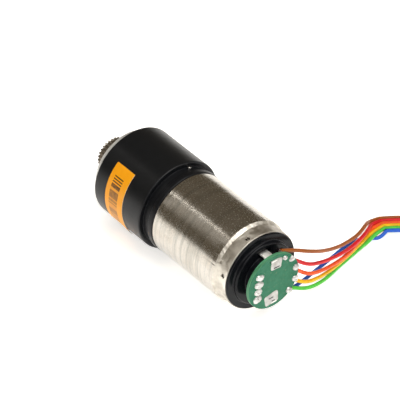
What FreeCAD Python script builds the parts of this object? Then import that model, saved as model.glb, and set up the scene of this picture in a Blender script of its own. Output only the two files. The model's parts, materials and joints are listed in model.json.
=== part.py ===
import FreeCAD, Part
import math
import os

# Geared DC motor: a two-stage planetary gearhead with an output pinion, a coreless motor in a steel
# can, and an encoder board whose six wires join into a flat ribbon with a small socket on its end.
#
# Frame, in millimetres: X is the axis that everything turns on and +X points out of the output end.
# The origin is the centre of the front mounting face, and +Z is up.  The motor lies on a surface
# that touches the gearbox along its lowest line.

# ---------------------------------------------------------------- driving dimensions

GEARBOX_R = 12.0            # outside of the gearbox housing
GEARBOX_FRONT = -2.2        # front rim of the housing
GEARBOX_REAR = -19.9        # rear rim of the housing
GEARBOX_BORE_R = 11.2

MODULE = 0.4                # planetary gearing
SUN_TEETH = 15
PLANET_TEETH = 18
RING_TEETH = 51
PLANETS = 3
PRESSURE_ANGLE = math.radians(20)
DEDENDUM = 1.25             # root depth below the pitch circle, in modules
RING_ADDENDUM = 0.88        # the ring's teeth are a little shorter than one module
TOOTH_THINNING = 0.06       # taken off each tooth's width, so that meshing flanks never touch
CENTRE_R = MODULE * (SUN_TEETH + PLANET_TEETH) / 2

PINION_MODULE = 0.3         # output pinion
PINION_TEETH = 28
PINION_BACK = 1.3
PINION_FRONT = 6.3

OUTPUT_SHAFT_R = 2.0
MOTOR_SHAFT_R = 0.75
PIN_R = 0.75                # planet pins
FIT_GAP = 0.01              # radial gap drawn between two parts of one body
RUN_GAP = 0.02              # radial gap between parts that turn against each other
SEAT_GAP = 0.02             # gap round a part that is pushed into a seat

BOLT_CIRCLE_R = 8.0         # four M2 threads in the front plate, at their minor diameter
BOLT_HOLE_R = 0.8
BOLT_DEPTH = 3.0
BOLTS = 4

ADAPTER_NECK_R = 10.7
ADAPTER_BAND_R = 11.1
ADAPTER_REAR = -23.7

CAN_R = 11.0                # motor can
CAN_BORE_R = 10.22
CAN_FRONT = -23.75
CAN_TAPER = (-46.4, -47.2)  # the can necks down here to its crimped rear ring
CAN_REAR = -50.6
CRIMP_R = 10.5
CRIMP_BORE_R = 9.9
CRIMP_HOLES = 6
CRIMP_HOLE_R = 0.5
CRIMP_HOLE_X = -49.4
CRIMP_FIRST = 15.0          # from +Y towards +Z

CAP_R = 10.3                # rear cap
CAP_REAR = -51.2
CAP_STEP_R = 8.4
CAP_STEP_REAR = -52.2
CAP_BOSS_R = 5.6

BOARD_R = 7.5               # encoder board
BOARD_FRONT = -54.8
BOARD_REAR = -55.8

LABEL_SPAN = (-13.4, -6.75)
LABEL_ANGLES = (-44.0, 49.5)  # from +Y towards +Z
LABEL_THICKNESS = 0.1

WIRE_R = 0.475              # one insulated conductor
RIBBON_PITCH = 1.0
RIBBON_WIDTH = 6 * RIBBON_PITCH
RIBBON_THICKNESS = 0.9

# Centre lines of the six wires, from the board to the ribbon.
WIRE_ROUTES = {
    "wire_brown": [
        (-54.2, -3.4, 6.5), (-54.4, -7.2, 4.9), (-55.0, -11.9, 2.3), (-54.1, -16.8, -0.7),
        (-52.7, -22.3, -3.4), (-51.0, -27.5, -5.3), (-49.2, -32.3, -6.7), (-46.4, -37.0, -7.8),
        (-44.5, -39.8, -9.6), (-44.5, -42.8, -10.3)],
    "wire_red": [
        (-54.2, -5.4, 3.4), (-54.3, -8.0, 1.2), (-55.1, -11.2, -1.3), (-54.4, -15.4, -3.4),
        (-53.2, -20.9, -5.5), (-51.8, -26.9, -6.9), (-50.0, -32.6, -7.4), (-47.4, -37.1, -8.6),
        (-45.5, -39.5, -9.6), (-45.4, -42.5, -10.3)],
    "wire_orange": [
        (-54.2, -6.1, 0.3), (-54.3, -8.3, -1.9), (-55.3, -11.0, -4.0), (-54.6, -15.2, -5.9),
        (-53.4, -20.6, -7.4), (-51.9, -26.2, -8.4), (-49.6, -32.2, -8.3), (-47.2, -36.6, -9.6),
        (-46.5, -39.2, -10.1), (-46.4, -42.2, -10.3)],
    "wire_yellow": [
        (-54.2, -5.7, -2.9), (-54.4, -7.7, -4.6), (-55.3, -10.2, -6.1), (-54.8, -14.0, -7.5),
        (-53.4, -19.3, -8.8), (-51.4, -25.7, -9.7), (-49.9, -31.9, -9.3), (-48.0, -36.0, -10.4),
        (-47.5, -38.9, -10.2), (-47.3, -41.8, -10.3)],
    "wire_green": [
        (-54.2, -4.0, -5.2), (-54.5, -6.6, -6.3), (-55.6, -9.9, -7.7), (-55.3, -13.6, -8.8),
        (-54.1, -18.2, -9.7), (-52.2, -22.9, -10.4), (-51.0, -27.3, -10.7), (-50.3, -31.6, -10.2),
        (-49.1, -35.8, -10.7), (-48.3, -38.7, -10.3), (-48.2, -41.5, -10.3)],
    "wire_blue": [
        (-54.2, -2.2, -6.9), (-53.6, -6.2, -7.8), (-53.3, -10.9, -7.6), (-52.6, -15.9, -7.1),
        (-51.7, -20.8, -7.0), (-50.4, -25.4, -7.4), (-48.8, -29.8, -8.4), (-46.6, -34.4, -11.2),
        (-47.8, -37.3, -11.5), (-49.5, -39.2, -11.4), (-49.2, -41.2, -10.3)],
}

# Centre line of the ribbon, from where the wires join it to the socket.
RIBBON_ROUTE = [
    (-46.8, -42.0, -10.3), (-48.0, -45.4, -11.0), (-50.8, -49.8, -11.5), (-55.4, -54.0, -11.5),
    (-61.8, -57.0, -11.5), (-69.4, -58.0, -11.5), (-77.2, -56.6, -11.5), (-84.2, -52.6, -11.5),
    (-89.8, -46.6, -11.5), (-94.8, -39.8, -11.5), (-98.6, -32.2, -11.5), (-101.0, -23.8, -11.5),
    (-102.4, -15.0, -11.5), (-103.0, -6.2, -11.4), (-103.2, 2.0, -10.9), (-103.4, 9.2, -10.6)]

# ---------------------------------------------------------------- helpers

ORIGIN = FreeCAD.Vector(0, 0, 0)
X_AXIS = FreeCAD.Vector(1, 0, 0)
Z_AXIS = FreeCAD.Vector(0, 0, 1)


def save(node, shape):
    """Write one sub-part, and say so when its shape is not a sound solid."""
    if not shape.isValid() or shape.Volume <= 0:
        print("unsound:", node)
    shape.exportStep("parts/%s.step" % node)


def disc(radius, back, front, y=0.0, z=0.0):
    """A cylinder along X between two stations."""
    return Part.makeCylinder(radius, front - back, FreeCAD.Vector(back, y, z), X_AXIS)


def ring(outer, inner, back, front):
    """A plain ring about the main axis."""
    return disc(outer, back, front).cut(disc(inner, back - 1, front + 1))


def block(xs, ys, zs):
    """A box between two corners, given as three spans."""
    corner = FreeCAD.Vector(xs[0], ys[0], zs[0])
    return Part.makeBox(xs[1] - xs[0], ys[1] - ys[0], zs[1] - zs[0], corner)


def rounded_wire(corners):
    """A closed wire through (point, radius) corners, each corner rounded by its own radius."""
    count = len(corners)
    edges = []
    starts = []
    for i in range(count):
        point, radius = corners[i]
        before = (corners[i - 1][0] - point).normalize()
        after = (corners[(i + 1) % count][0] - point).normalize()
        if radius == 0:
            starts.append((point, point, None))
            continue
        half = before.getAngle(after) / 2
        reach = radius / math.tan(half)
        middle = point + (before + after).normalize() * (radius / math.sin(half) - radius)
        starts.append((point + before * reach, point + after * reach, middle))
    for i in range(count):
        enter, leave, middle = starts[i]
        if middle is not None:
            edges.append(Part.Arc(enter, middle, leave).toShape())
        following = starts[(i + 1) % count][0]
        if leave.distanceToPoint(following) > 1e-6:
            edges.append(Part.LineSegment(leave, following).toShape())
    return Part.Wire(edges)


def turned(profile):
    """A solid turned about X from a closed profile of (x, r) or (x, r, corner radius) points."""
    corners = []
    for station in profile:
        radius = station[2] if len(station) > 2 else 0
        corners.append((FreeCAD.Vector(station[0], 0, station[1]), radius))
    return Part.Face(rounded_wire(corners)).revolve(ORIGIN, X_AXIS, 360)


def spun(shape, angle):
    """A copy turned about X by an angle in degrees."""
    copy = shape.copy()
    copy.rotate(ORIGIN, X_AXIS, angle)
    return copy


def around(shape, count, first=0.0):
    """Equally spaced copies about X, as a list."""
    return [spun(shape, first + 360.0 * k / count) for k in range(count)]


def cut_all(shape, tools):
    """The shape less every tool."""
    for tool in tools:
        shape = shape.cut(tool)
    return shape


def radial_rod(radius, inner, outer, x, angle):
    """A rod that points away from the axis, at an angle from +Y towards +Z."""
    direction = FreeCAD.Vector(0, math.cos(math.radians(angle)), math.sin(math.radians(angle)))
    start = FreeCAD.Vector(x, 0, 0) + direction * inner
    return Part.makeCylinder(radius, outer - inner, start, direction)


def sector(outer, inner, back, front, first, last):
    """Part of a ring between two angles, measured from +Y towards +Z."""
    wedge = Part.makeCylinder(outer, front - back, FreeCAD.Vector(back, 0, 0), X_AXIS, last - first)
    hole = disc(inner, back - 1, front + 1)
    # A cylinder made along X starts its sweep at +Z, which is 90 degrees past +Y.
    return spun(wedge.cut(hole), first - 90)


def involute(angle):
    """The involute function of a pressure angle."""
    return math.tan(angle) - angle


def gear_outline(teeth, module, tip_r, root_r, width, turn=0.0, steps=4):
    """Corner points (y, z) of a spur gear with one tooth centred on +Z, turned by some degrees."""
    pitch_r = teeth * module / 2
    base_r = pitch_r * math.cos(PRESSURE_ANGLE)
    flank_r = max(root_r, base_r)

    def half_angle(radius):
        # Half of the angle that one tooth fills at a radius.
        pressure = math.acos(min(1.0, base_r / max(radius, base_r)))
        return width / (2 * pitch_r) + involute(PRESSURE_ANGLE) - involute(pressure)

    radii = [flank_r + (tip_r - flank_r) * k / steps for k in range(steps + 1)]
    if root_r < flank_r:
        radii.insert(0, root_r)
    points = []
    for tooth in range(teeth):
        centre = math.radians(turn) + 2 * math.pi * tooth / teeth
        rising = [(r, centre - half_angle(r)) for r in radii]
        falling = [(r, centre + half_angle(r)) for r in reversed(radii)]
        for r, a in rising + falling:
            points.append((-r * math.sin(a), r * math.cos(a)))
    return points


def prism(points, back, front):
    """A straight prism along X over (y, z) corner points."""
    corners = [FreeCAD.Vector(back, y, z) for y, z in points]
    face = Part.Face(Part.makePolygon(corners + [corners[0]]))
    return face.extrude(FreeCAD.Vector(front - back, 0, 0))


def route_edges(points):
    """Straight runs joined by tangent arcs, and the radii of those arcs."""
    corners = [FreeCAD.Vector(*p) for p in points]
    edges = []
    radii = []
    last = corners[0]
    for i in range(1, len(corners) - 1):
        back = corners[i - 1] - corners[i]
        ahead = corners[i + 1] - corners[i]
        reach = 0.45 * min(back.Length, ahead.Length)
        back.normalize()
        ahead.normalize()
        half = back.getAngle(ahead) / 2
        radius = reach * math.tan(half)
        radii.append(round(radius, 1))
        middle = corners[i] + (back + ahead).normalize() * (radius / math.sin(half) - radius)
        enter = corners[i] + back * reach
        leave = corners[i] + ahead * reach
        edges.append(Part.LineSegment(last, enter).toShape())
        edges.append(Part.Arc(enter, middle, leave).toShape())
        last = leave
    edges.append(Part.LineSegment(last, corners[-1]).toShape())
    return edges, radii


def tube(name, points, radius):
    """A round tube along a route."""
    edges, radii = route_edges(points)
    path = Part.Wire(edges)
    start = FreeCAD.Vector(*points[0])
    along = FreeCAD.Vector(*points[1]) - start
    section = Part.Wire(Part.makeCircle(radius, start, along))
    solid = path.makePipeShell([section], True, True)
    expected = math.pi * radius ** 2 * path.Length
    print("%s: length %.1f, radii %s, volume ratio %.3f"
          % (name, path.Length, radii, solid.Volume / expected))
    return solid


def strip(name, points, width, thickness):
    """A level flat strip along a route, as one closed solid with flat faces."""
    edges, radii = route_edges(points)
    length = Part.Wire(edges).Length
    stations = []
    for edge in edges:
        spans = 1 if edge.Curve.TypeId == "Part::GeomLine" else 4
        for k in range(spans):
            at = edge.FirstParameter + (edge.LastParameter - edge.FirstParameter) * k / spans
            stations.append((edge.valueAt(at), edge.tangentAt(at)))
    stations.append((edges[-1].valueAt(edges[-1].LastParameter), stations[-1][1]))
    rings = []
    for centre, along in stations:
        across = FreeCAD.Vector(-along.y, along.x, 0).normalize() * (width / 2)
        above = FreeCAD.Vector(0, 0, thickness / 2)
        rings.append([centre - across - above, centre + across - above,
                      centre + across + above, centre - across + above])
    faces = []
    for near, far in zip(rings[:-1], rings[1:]):
        for k in range(4):
            a, b, c, d = near[k], near[(k + 1) % 4], far[(k + 1) % 4], far[k]
            faces.append(Part.Face(Part.makePolygon([a, b, c, a])))
            faces.append(Part.Face(Part.makePolygon([a, c, d, a])))
    for end in (rings[0], rings[-1]):
        faces.append(Part.Face(Part.makePolygon(end + [end[0]])))
    solid = Part.Solid(Part.Shell(faces))
    if solid.Volume < 0:
        solid.reverse()
    print("%s: length %.1f, radii %s, volume ratio %.3f"
          % (name, length, radii, solid.Volume / (width * thickness * length)))
    return solid


# ---------------------------------------------------------------- gearbox shell

PLATE_BOSS_R = 10.0
LIP_BORE_R = PLATE_BOSS_R + 0.03
PLATE_FLANGE_R = GEARBOX_BORE_R - SEAT_GAP
LIP_BACK = -3.1
PLATE_FLANGE_REAR = -5.0
PLATE_HUB_R = 5.5
PLATE_HUB_REAR = -7.4
BEARING_BACK = -2.6
BEARING_FRONT = -0.1
BEARING_R = 4.5
BUSH_R = 3.2
BUSH_FRONT = -3.6
BUSH_SPAN = (-7.3, -3.7)
BUSH_SHOULDER_R = 2.7
ADAPTER_FRONT = -18.8
RING_REAR = -18.75
RING_FRONT = PLATE_FLANGE_REAR - 0.05


def make_gearbox_housing():
    """The black sleeve, with a lip that holds the front plate in."""
    save("gearbox_housing", turned([
        (GEARBOX_REAR, GEARBOX_BORE_R), (GEARBOX_REAR, GEARBOX_R, 0.5),
        (GEARBOX_FRONT, GEARBOX_R, 0.6), (GEARBOX_FRONT, LIP_BORE_R),
        (LIP_BACK, LIP_BORE_R), (LIP_BACK, GEARBOX_BORE_R)]))


def make_label():
    """The paper label, wrapped round the side of the housing."""
    inner = GEARBOX_R + FIT_GAP
    save("label", sector(inner + LABEL_THICKNESS, inner, *LABEL_SPAN, *LABEL_ANGLES))


def make_front_plate():
    """The steel plate with the mounting face, the bearing seat and four threads."""
    plate = turned([
        (0, BEARING_R + FIT_GAP), (0, PLATE_BOSS_R, 0.3), (LIP_BACK - SEAT_GAP, PLATE_BOSS_R),
        (LIP_BACK - SEAT_GAP, PLATE_FLANGE_R), (PLATE_FLANGE_REAR, PLATE_FLANGE_R),
        (PLATE_FLANGE_REAR, PLATE_HUB_R), (PLATE_HUB_REAR, PLATE_HUB_R),
        (PLATE_HUB_REAR, BUSH_R + FIT_GAP), (BUSH_FRONT, BUSH_R + FIT_GAP),
        (BUSH_FRONT, BUSH_SHOULDER_R), (BEARING_BACK - SEAT_GAP, BUSH_SHOULDER_R),
        (BEARING_BACK - SEAT_GAP, BEARING_R + FIT_GAP)])
    hole = disc(BOLT_HOLE_R, -BOLT_DEPTH, 1, 0, BOLT_CIRCLE_R)
    save("front_plate", cut_all(plate, around(hole, BOLTS, 45)))


def make_ring_gear():
    """The internal gear that both planet stages roll in."""
    pitch_r = MODULE * RING_TEETH / 2
    space = math.pi * MODULE / 2 + TOOTH_THINNING
    hollow = gear_outline(RING_TEETH, MODULE, pitch_r + DEDENDUM * MODULE, pitch_r - RING_ADDENDUM * MODULE,
                          space, 180.0 / RING_TEETH)
    blank = disc(GEARBOX_BORE_R - SEAT_GAP, RING_REAR, RING_FRONT)
    save("ring_gear", blank.cut(prism(hollow, RING_REAR - 1, RING_FRONT + 1)))


# ---------------------------------------------------------------- output shaft and its bearing

BALL_R = 0.6
BALLS = 8
RACE_R = 3.25
RACE_GROOVE_R = BALL_R + RUN_GAP
INNER_RACE_R = 2.75
OUTER_RACE_R = 3.75
POCKET_GAP = 0.05
CAGE_HALF_WALL = 0.3
CAGE_HALF_WIDTH = 0.9
CIRCLIP_SPAN = (0.25, 0.75)
CIRCLIP_R = 3.2
CIRCLIP_OPENING = (-1.1, 1.1)
CIRCLIP_EYES = ((2.35, -1.3), (-2.35, -1.3))
CIRCLIP_EYE_R = 0.45
CIRCLIP_GROOVE = (0.2, 0.8)
CIRCLIP_GROOVE_R = 1.7
SHAFT_FRONT = 7.0
OUTPUT_CARRIER = (-9.2, -8.0)
CARRIER_R = 8.6
OUTPUT_PLANETS = (-13.1, -9.4)
FIRST_CARRIER = (-14.8, -13.6)
FIRST_PLANETS = (-18.3, -15.0)
FLAT_DEPTH = 0.35


def make_front_bearing():
    """A 4 x 9 x 2.5 ball bearing: two races, eight balls and their cage."""
    middle = (BEARING_BACK + BEARING_FRONT) / 2
    centre = FreeCAD.Vector(middle, 0, 0)
    groove = Part.makeTorus(RACE_R, RACE_GROOVE_R, centre, X_AXIS)
    outer = turned([
        (BEARING_BACK, OUTER_RACE_R), (BEARING_BACK, BEARING_R, 0.2),
        (BEARING_FRONT, BEARING_R, 0.2), (BEARING_FRONT, OUTER_RACE_R)])
    inner_bore = OUTPUT_SHAFT_R + FIT_GAP
    inner = ring(INNER_RACE_R, inner_bore, BEARING_BACK, BEARING_FRONT)
    save("bearing_outer_race", outer.cut(groove))
    save("bearing_inner_race", inner.cut(groove))
    ball = Part.makeSphere(BALL_R, FreeCAD.Vector(middle, 0, RACE_R))
    save("bearing_balls", Part.makeCompound(around(ball, BALLS)))
    pocket = Part.makeSphere(BALL_R + POCKET_GAP, FreeCAD.Vector(middle, 0, RACE_R))
    cage = ring(RACE_R + CAGE_HALF_WALL, RACE_R - CAGE_HALF_WALL,
                middle - CAGE_HALF_WIDTH, middle + CAGE_HALF_WIDTH)
    save("bearing_cage", cut_all(cage, around(pocket, BALLS)))


def make_output_shaft():
    """The 4 mm shaft, with a groove for the circlip and a flat under the pinion."""
    shaft = turned([
        (OUTPUT_CARRIER[0], 0), (OUTPUT_CARRIER[0], OUTPUT_SHAFT_R),
        (CIRCLIP_GROOVE[0], OUTPUT_SHAFT_R), (CIRCLIP_GROOVE[0], CIRCLIP_GROOVE_R),
        (CIRCLIP_GROOVE[1], CIRCLIP_GROOVE_R), (CIRCLIP_GROOVE[1], OUTPUT_SHAFT_R),
        (SHAFT_FRONT, OUTPUT_SHAFT_R, 0.3), (SHAFT_FRONT, 0)])
    flat = block((PINION_BACK, PINION_FRONT + 1), (-3, 3), (OUTPUT_SHAFT_R - FLAT_DEPTH, 3))
    save("output_shaft", shaft.cut(flat))


def make_output_pinion():
    """The 28-tooth pinion, pushed on over the shaft's flat."""
    pitch_r = PINION_MODULE * PINION_TEETH / 2
    teeth = gear_outline(PINION_TEETH, PINION_MODULE, pitch_r + PINION_MODULE,
                         pitch_r - DEDENDUM * PINION_MODULE,
                         math.pi * PINION_MODULE / 2 - TOOTH_THINNING)
    bore = disc(OUTPUT_SHAFT_R + FIT_GAP, PINION_BACK - 1, PINION_FRONT + 1)
    above = block((PINION_BACK - 2, PINION_FRONT + 2), (-4, 4),
                  (OUTPUT_SHAFT_R - FLAT_DEPTH + FIT_GAP, 4))
    save("output_pinion", prism(teeth, PINION_BACK, PINION_FRONT).cut(bore.cut(above)))


def make_circlip():
    """An open spring clip in the shaft's groove, in front of the bearing."""
    clip = ring(CIRCLIP_R, CIRCLIP_GROOVE_R + FIT_GAP, *CIRCLIP_SPAN)
    opening = block((0, 1), CIRCLIP_OPENING, (0, CIRCLIP_R + 1))
    eyes = [disc(CIRCLIP_EYE_R, 0, 1, *centre) for centre in CIRCLIP_EYES]
    save("shaft_circlip", cut_all(clip.cut(opening), eyes))


def make_output_bush():
    """The sintered bush at the back of the front plate."""
    save("output_bush", ring(BUSH_R, OUTPUT_SHAFT_R + RUN_GAP, *BUSH_SPAN))


# ---------------------------------------------------------------- planetary stages

CARRIER_RELIEF_R = 1.6
SUN_HUB_R = 2.4
SUN_HUB_FRONT = -13.5
SECOND_SUN = (-13.55, -9.45)
MOTOR_PINION = (-18.2, -15.05)
OUTPUT_WASHER = (-7.9, -7.5)
OUTPUT_WASHER_R = 4.5
STAGE_WASHER = (-13.55, -13.25)
STAGE_WASHER_R = (3.6, 8.6)
PLANET_WASHER = (-18.75, -18.45)
PLANET_WASHER_R = (4.2, 9.0)


def carrier_plate(span, bore_r):
    """A disc with three pin holes and three lightening slots."""
    plate = ring(CARRIER_R, bore_r, *span)
    pin_hole = disc(PIN_R + FIT_GAP, span[0] - 1, span[1] + 1, 0, CENTRE_R)
    relief = disc(CARRIER_RELIEF_R, span[0] - 1, span[1] + 1, 0, CENTRE_R)
    return cut_all(plate, around(pin_hole, PLANETS) + around(relief, PLANETS, 60))


def carrier_pins(span):
    """The three pins that the planets turn on."""
    return Part.makeCompound(around(disc(PIN_R, span[0], span[1], 0, CENTRE_R), PLANETS))


def sun_teeth(span):
    """The teeth of a sun gear, with one tooth at the top."""
    pitch_r = MODULE * SUN_TEETH / 2
    outline = gear_outline(SUN_TEETH, MODULE, pitch_r + MODULE, pitch_r - DEDENDUM * MODULE,
                           math.pi * MODULE / 2 - TOOTH_THINNING)
    return prism(outline, *span)


def planet(span):
    """One planet, at the top, with a tooth space towards the sun and another towards the ring."""
    pitch_r = MODULE * PLANET_TEETH / 2
    outline = gear_outline(PLANET_TEETH, MODULE, pitch_r + MODULE, pitch_r - DEDENDUM * MODULE,
                           math.pi * MODULE / 2 - TOOTH_THINNING, 180.0 / PLANET_TEETH)
    gear = prism(outline, *span)
    gear.translate(FreeCAD.Vector(0, 0, CENTRE_R))
    return gear.cut(disc(PIN_R + RUN_GAP, span[0] - 1, span[1] + 1, 0, CENTRE_R))


def make_planet_stages():
    """Both planetary stages: carriers, pins, suns, planets and the washers between them."""
    save("output_carrier", carrier_plate(OUTPUT_CARRIER, OUTPUT_SHAFT_R + FIT_GAP))
    save("output_carrier_pins", carrier_pins((OUTPUT_PLANETS[0], OUTPUT_CARRIER[1] - 0.1)))
    save("output_washer", ring(OUTPUT_WASHER_R, OUTPUT_SHAFT_R + FIT_GAP, *OUTPUT_WASHER))
    save("first_carrier", carrier_plate(FIRST_CARRIER, SUN_HUB_R + FIT_GAP))
    save("first_carrier_pins", carrier_pins((FIRST_PLANETS[0], FIRST_CARRIER[1] - 0.1)))
    save("stage_washer", ring(STAGE_WASHER_R[1], STAGE_WASHER_R[0], *STAGE_WASHER))
    save("planet_washer", ring(PLANET_WASHER_R[1], PLANET_WASHER_R[0], *PLANET_WASHER))
    second_sun = sun_teeth(SECOND_SUN).fuse(disc(SUN_HUB_R, FIRST_CARRIER[0], SUN_HUB_FRONT))
    save("second_sun", second_sun.removeSplitter())
    bore = disc(MOTOR_SHAFT_R + FIT_GAP, -20, -10)
    save("motor_pinion", sun_teeth(MOTOR_PINION).cut(bore))
    for k in range(PLANETS):
        save("output_planet_%d" % (k + 1), spun(planet(OUTPUT_PLANETS), 360.0 * k / PLANETS))
        save("first_planet_%d" % (k + 1), spun(planet(FIRST_PLANETS), 360.0 * k / PLANETS))


# ---------------------------------------------------------------- adapter between gearbox and motor

ADAPTER_NOSE_R = 2.0
ADAPTER_POCKET_FRONT = -21.5
ADAPTER_POCKET_R = 3.05
ADAPTER_BAND_FRONT = -22.0
ADAPTER_SCREWS = 3
ADAPTER_SCREW_R = 6.0       # radius of the circle that the screws stand on
SCREW_FIRST = 60.0
SCREW_HEAD = (-20.05, -18.95)
SCREW_HEAD_R = 1.4
SCREW_RECESS_R = 1.5
SCREW_SHANK_R = 0.78
SCREW_PASSAGE_R = 0.85
SCREW_END = -25.2
SCREW_SLOT_FLOOR = -19.5
DOWEL_ANGLE = 106.0
DOWEL_X = -20.45
DOWEL_R = 0.45
DOWEL_INNER = 9.0


def make_adapter():
    """The black flange, its neck and band, the three screws and the locating dowel."""
    spigot_r = GEARBOX_BORE_R - SEAT_GAP
    shoulder = GEARBOX_REAR - 0.05
    body = turned([
        (ADAPTER_FRONT, ADAPTER_NOSE_R), (ADAPTER_FRONT, spigot_r), (shoulder, spigot_r),
        (shoulder, ADAPTER_NECK_R), (ADAPTER_BAND_FRONT, ADAPTER_NECK_R),
        (ADAPTER_BAND_FRONT, ADAPTER_BAND_R, 0.2), (ADAPTER_REAR, ADAPTER_BAND_R, 0.35),
        (ADAPTER_REAR, ADAPTER_POCKET_R), (ADAPTER_POCKET_FRONT, ADAPTER_POCKET_R),
        (ADAPTER_POCKET_FRONT, ADAPTER_NOSE_R)])
    recess = disc(SCREW_RECESS_R, SCREW_HEAD[0] - 0.05, 0, 0, ADAPTER_SCREW_R)
    passage = disc(SCREW_PASSAGE_R, ADAPTER_REAR - 1, 0, 0, ADAPTER_SCREW_R)
    holes = around(recess, ADAPTER_SCREWS, SCREW_FIRST) + around(passage, ADAPTER_SCREWS, SCREW_FIRST)
    holes.append(radial_rod(DOWEL_R + FIT_GAP, DOWEL_INNER - 0.1, GEARBOX_R + 1, DOWEL_X, DOWEL_ANGLE))
    save("adapter_flange", cut_all(body, holes))
    save("flange_dowel", radial_rod(DOWEL_R, DOWEL_INNER, ADAPTER_BAND_R, DOWEL_X, DOWEL_ANGLE))
    head = disc(SCREW_HEAD_R, *SCREW_HEAD, 0, ADAPTER_SCREW_R)
    shank = disc(SCREW_SHANK_R, SCREW_END, SCREW_HEAD[0] + 0.1, 0, ADAPTER_SCREW_R)
    driver = block((SCREW_SLOT_FLOOR, ADAPTER_FRONT + 1), (-0.2, 0.2),
                   (ADAPTER_SCREW_R - 2, ADAPTER_SCREW_R + 2))
    screw = head.fuse(shank).removeSplitter().cut(driver)
    save("adapter_screws", Part.makeCompound(around(screw, ADAPTER_SCREWS, SCREW_FIRST)))


# ---------------------------------------------------------------- motor, the parts that stand still

PLATE_SPAN = (-25.7, -23.8)
PLATE_SPIGOT_FRONT = -21.6
PLATE_SPIGOT_R = 3.0
FRONT_BUSH_R = 1.6
FRONT_BUSH_FRONT = -21.7
REAR_BUSH_FRONT = -39.4
MAGNET_SPAN = (-41.8, -25.72)
MAGNET_R = 7.2
MAGNET_BORE_R = 1.8
MOTOR_BUSH_BORE_R = MOTOR_SHAFT_R + RUN_GAP


def make_motor_can():
    """The steel can, necked at the rear and pierced by the crimps that hold the cap."""
    can = turned([
        (CAN_FRONT, CAN_BORE_R), (CAN_FRONT, CAN_R, 0.3), (CAN_TAPER[0], CAN_R, 0.25),
        (CAN_TAPER[1], CRIMP_R, 0.25), (CAN_REAR, CRIMP_R, 0.3), (CAN_REAR, CRIMP_BORE_R),
        (CAN_TAPER[1], CRIMP_BORE_R), (CAN_TAPER[0], CAN_BORE_R)])
    hole = radial_rod(CRIMP_HOLE_R, CRIMP_BORE_R - 1, CRIMP_R + 1, CRIMP_HOLE_X, CRIMP_FIRST)
    save("motor_can", cut_all(can, around(hole, CRIMP_HOLES)))


def make_motor_front_plate():
    """The steel plate that closes the can, its spigot in the adapter, and the front bush."""
    plate_r = CAN_BORE_R - SEAT_GAP
    bore_r = FRONT_BUSH_R + FIT_GAP
    plate = turned([
        (PLATE_SPAN[0], bore_r), (PLATE_SPAN[0], plate_r), (PLATE_SPAN[1], plate_r),
        (PLATE_SPAN[1], PLATE_SPIGOT_R), (PLATE_SPIGOT_FRONT, PLATE_SPIGOT_R),
        (PLATE_SPIGOT_FRONT, bore_r)])
    hole = disc(SCREW_SHANK_R + FIT_GAP, SCREW_END - 0.2, 0, 0, ADAPTER_SCREW_R)
    save("motor_front_plate", cut_all(plate, around(hole, ADAPTER_SCREWS, SCREW_FIRST)))
    bush = ring(FRONT_BUSH_R, MOTOR_BUSH_BORE_R, PLATE_SPAN[0] + 0.1, FRONT_BUSH_FRONT)
    save("motor_front_bush", bush)


def make_stator():
    """The magnet that stands inside the coil, and the rear bush in its bore."""
    save("stator_magnet", ring(MAGNET_R, MAGNET_BORE_R, *MAGNET_SPAN))
    bush = ring(MAGNET_BORE_R - FIT_GAP, MOTOR_BUSH_BORE_R, MAGNET_SPAN[0], REAR_BUSH_FRONT)
    save("motor_rear_bush", bush)


# ---------------------------------------------------------------- motor, the parts that turn

COIL_R = (7.9, 9.2)
COIL_SPAN = (-43.5, -27.0)
HUB_REAR = -46.0
HUB_NECK_R = 2.5
HUB_FLANGE = (-44.7, -43.52)
MOTOR_SHAFT_SPAN = (-53.65, -15.1)
CORE_SPAN = (-48.2, -46.02)
CORE_R = 1.2
BAR_SPAN = (-48.1, -46.1)
BAR_R = 1.6
BAR_GAP = 4.0               # degrees between two commutator bars
SEGMENTS = 9
ENCODER_MAGNET_SPAN = (-53.6, -52.3)
ENCODER_MAGNET_R = 2.4


def make_rotor():
    """The shaft, the self-supporting coil on its hub, the commutator and the encoder magnet."""
    shaft_hole = disc(MOTOR_SHAFT_R + FIT_GAP, -60, 0)
    rear, front = MOTOR_SHAFT_SPAN
    save("motor_shaft", turned([
        (rear, 0), (rear, MOTOR_SHAFT_R, 0.15), (front, MOTOR_SHAFT_R, 0.15), (front, 0)]))
    save("coil", ring(COIL_R[1], COIL_R[0], *COIL_SPAN))
    hub = turned([
        (HUB_REAR, 0), (HUB_REAR, HUB_NECK_R), (HUB_FLANGE[0], HUB_NECK_R),
        (HUB_FLANGE[0], COIL_R[1]), (HUB_FLANGE[1], COIL_R[1]), (HUB_FLANGE[1], 0)])
    save("coil_hub", hub.cut(shaft_hole))
    save("commutator_core", disc(CORE_R, *CORE_SPAN).cut(shaft_hole))
    bar = sector(BAR_R, CORE_R + FIT_GAP, *BAR_SPAN, BAR_GAP / 2, 360.0 / SEGMENTS - BAR_GAP / 2)
    save("commutator_bars", Part.makeCompound(around(bar, SEGMENTS)))
    magnet = ring(ENCODER_MAGNET_R, MOTOR_SHAFT_R + FIT_GAP, *ENCODER_MAGNET_SPAN)
    save("encoder_magnet", magnet)


# ---------------------------------------------------------------- rear cap, terminals and brushes

TERMINAL_Z = (6.0, 6.4)
TERMINAL_Y = (-1.2, 1.2)
TERMINAL_END = -56.0
TERMINAL_FRONT = (-47.6, -46.8)
WING_Y = (1.0, 1.9)
BRUSH_Y = (1.63, 1.75)
CAP_SHAFT_HOLE_R = 1.3
CAP_PLUG = (-49.7, -47.9)   # the floor of the plug and its front rim
CAP_PLUG_R = (8.9, 9.88)
CAP_GROOVE_R = (9.1, 9.3)   # foot and top of the groove inside the cap's rim
CAP_GROOVE_DEPTH = 0.3
CAP_BOSS_BORE_R = 4.2
CAP_BOSS_FLOOR = -51.9


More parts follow.
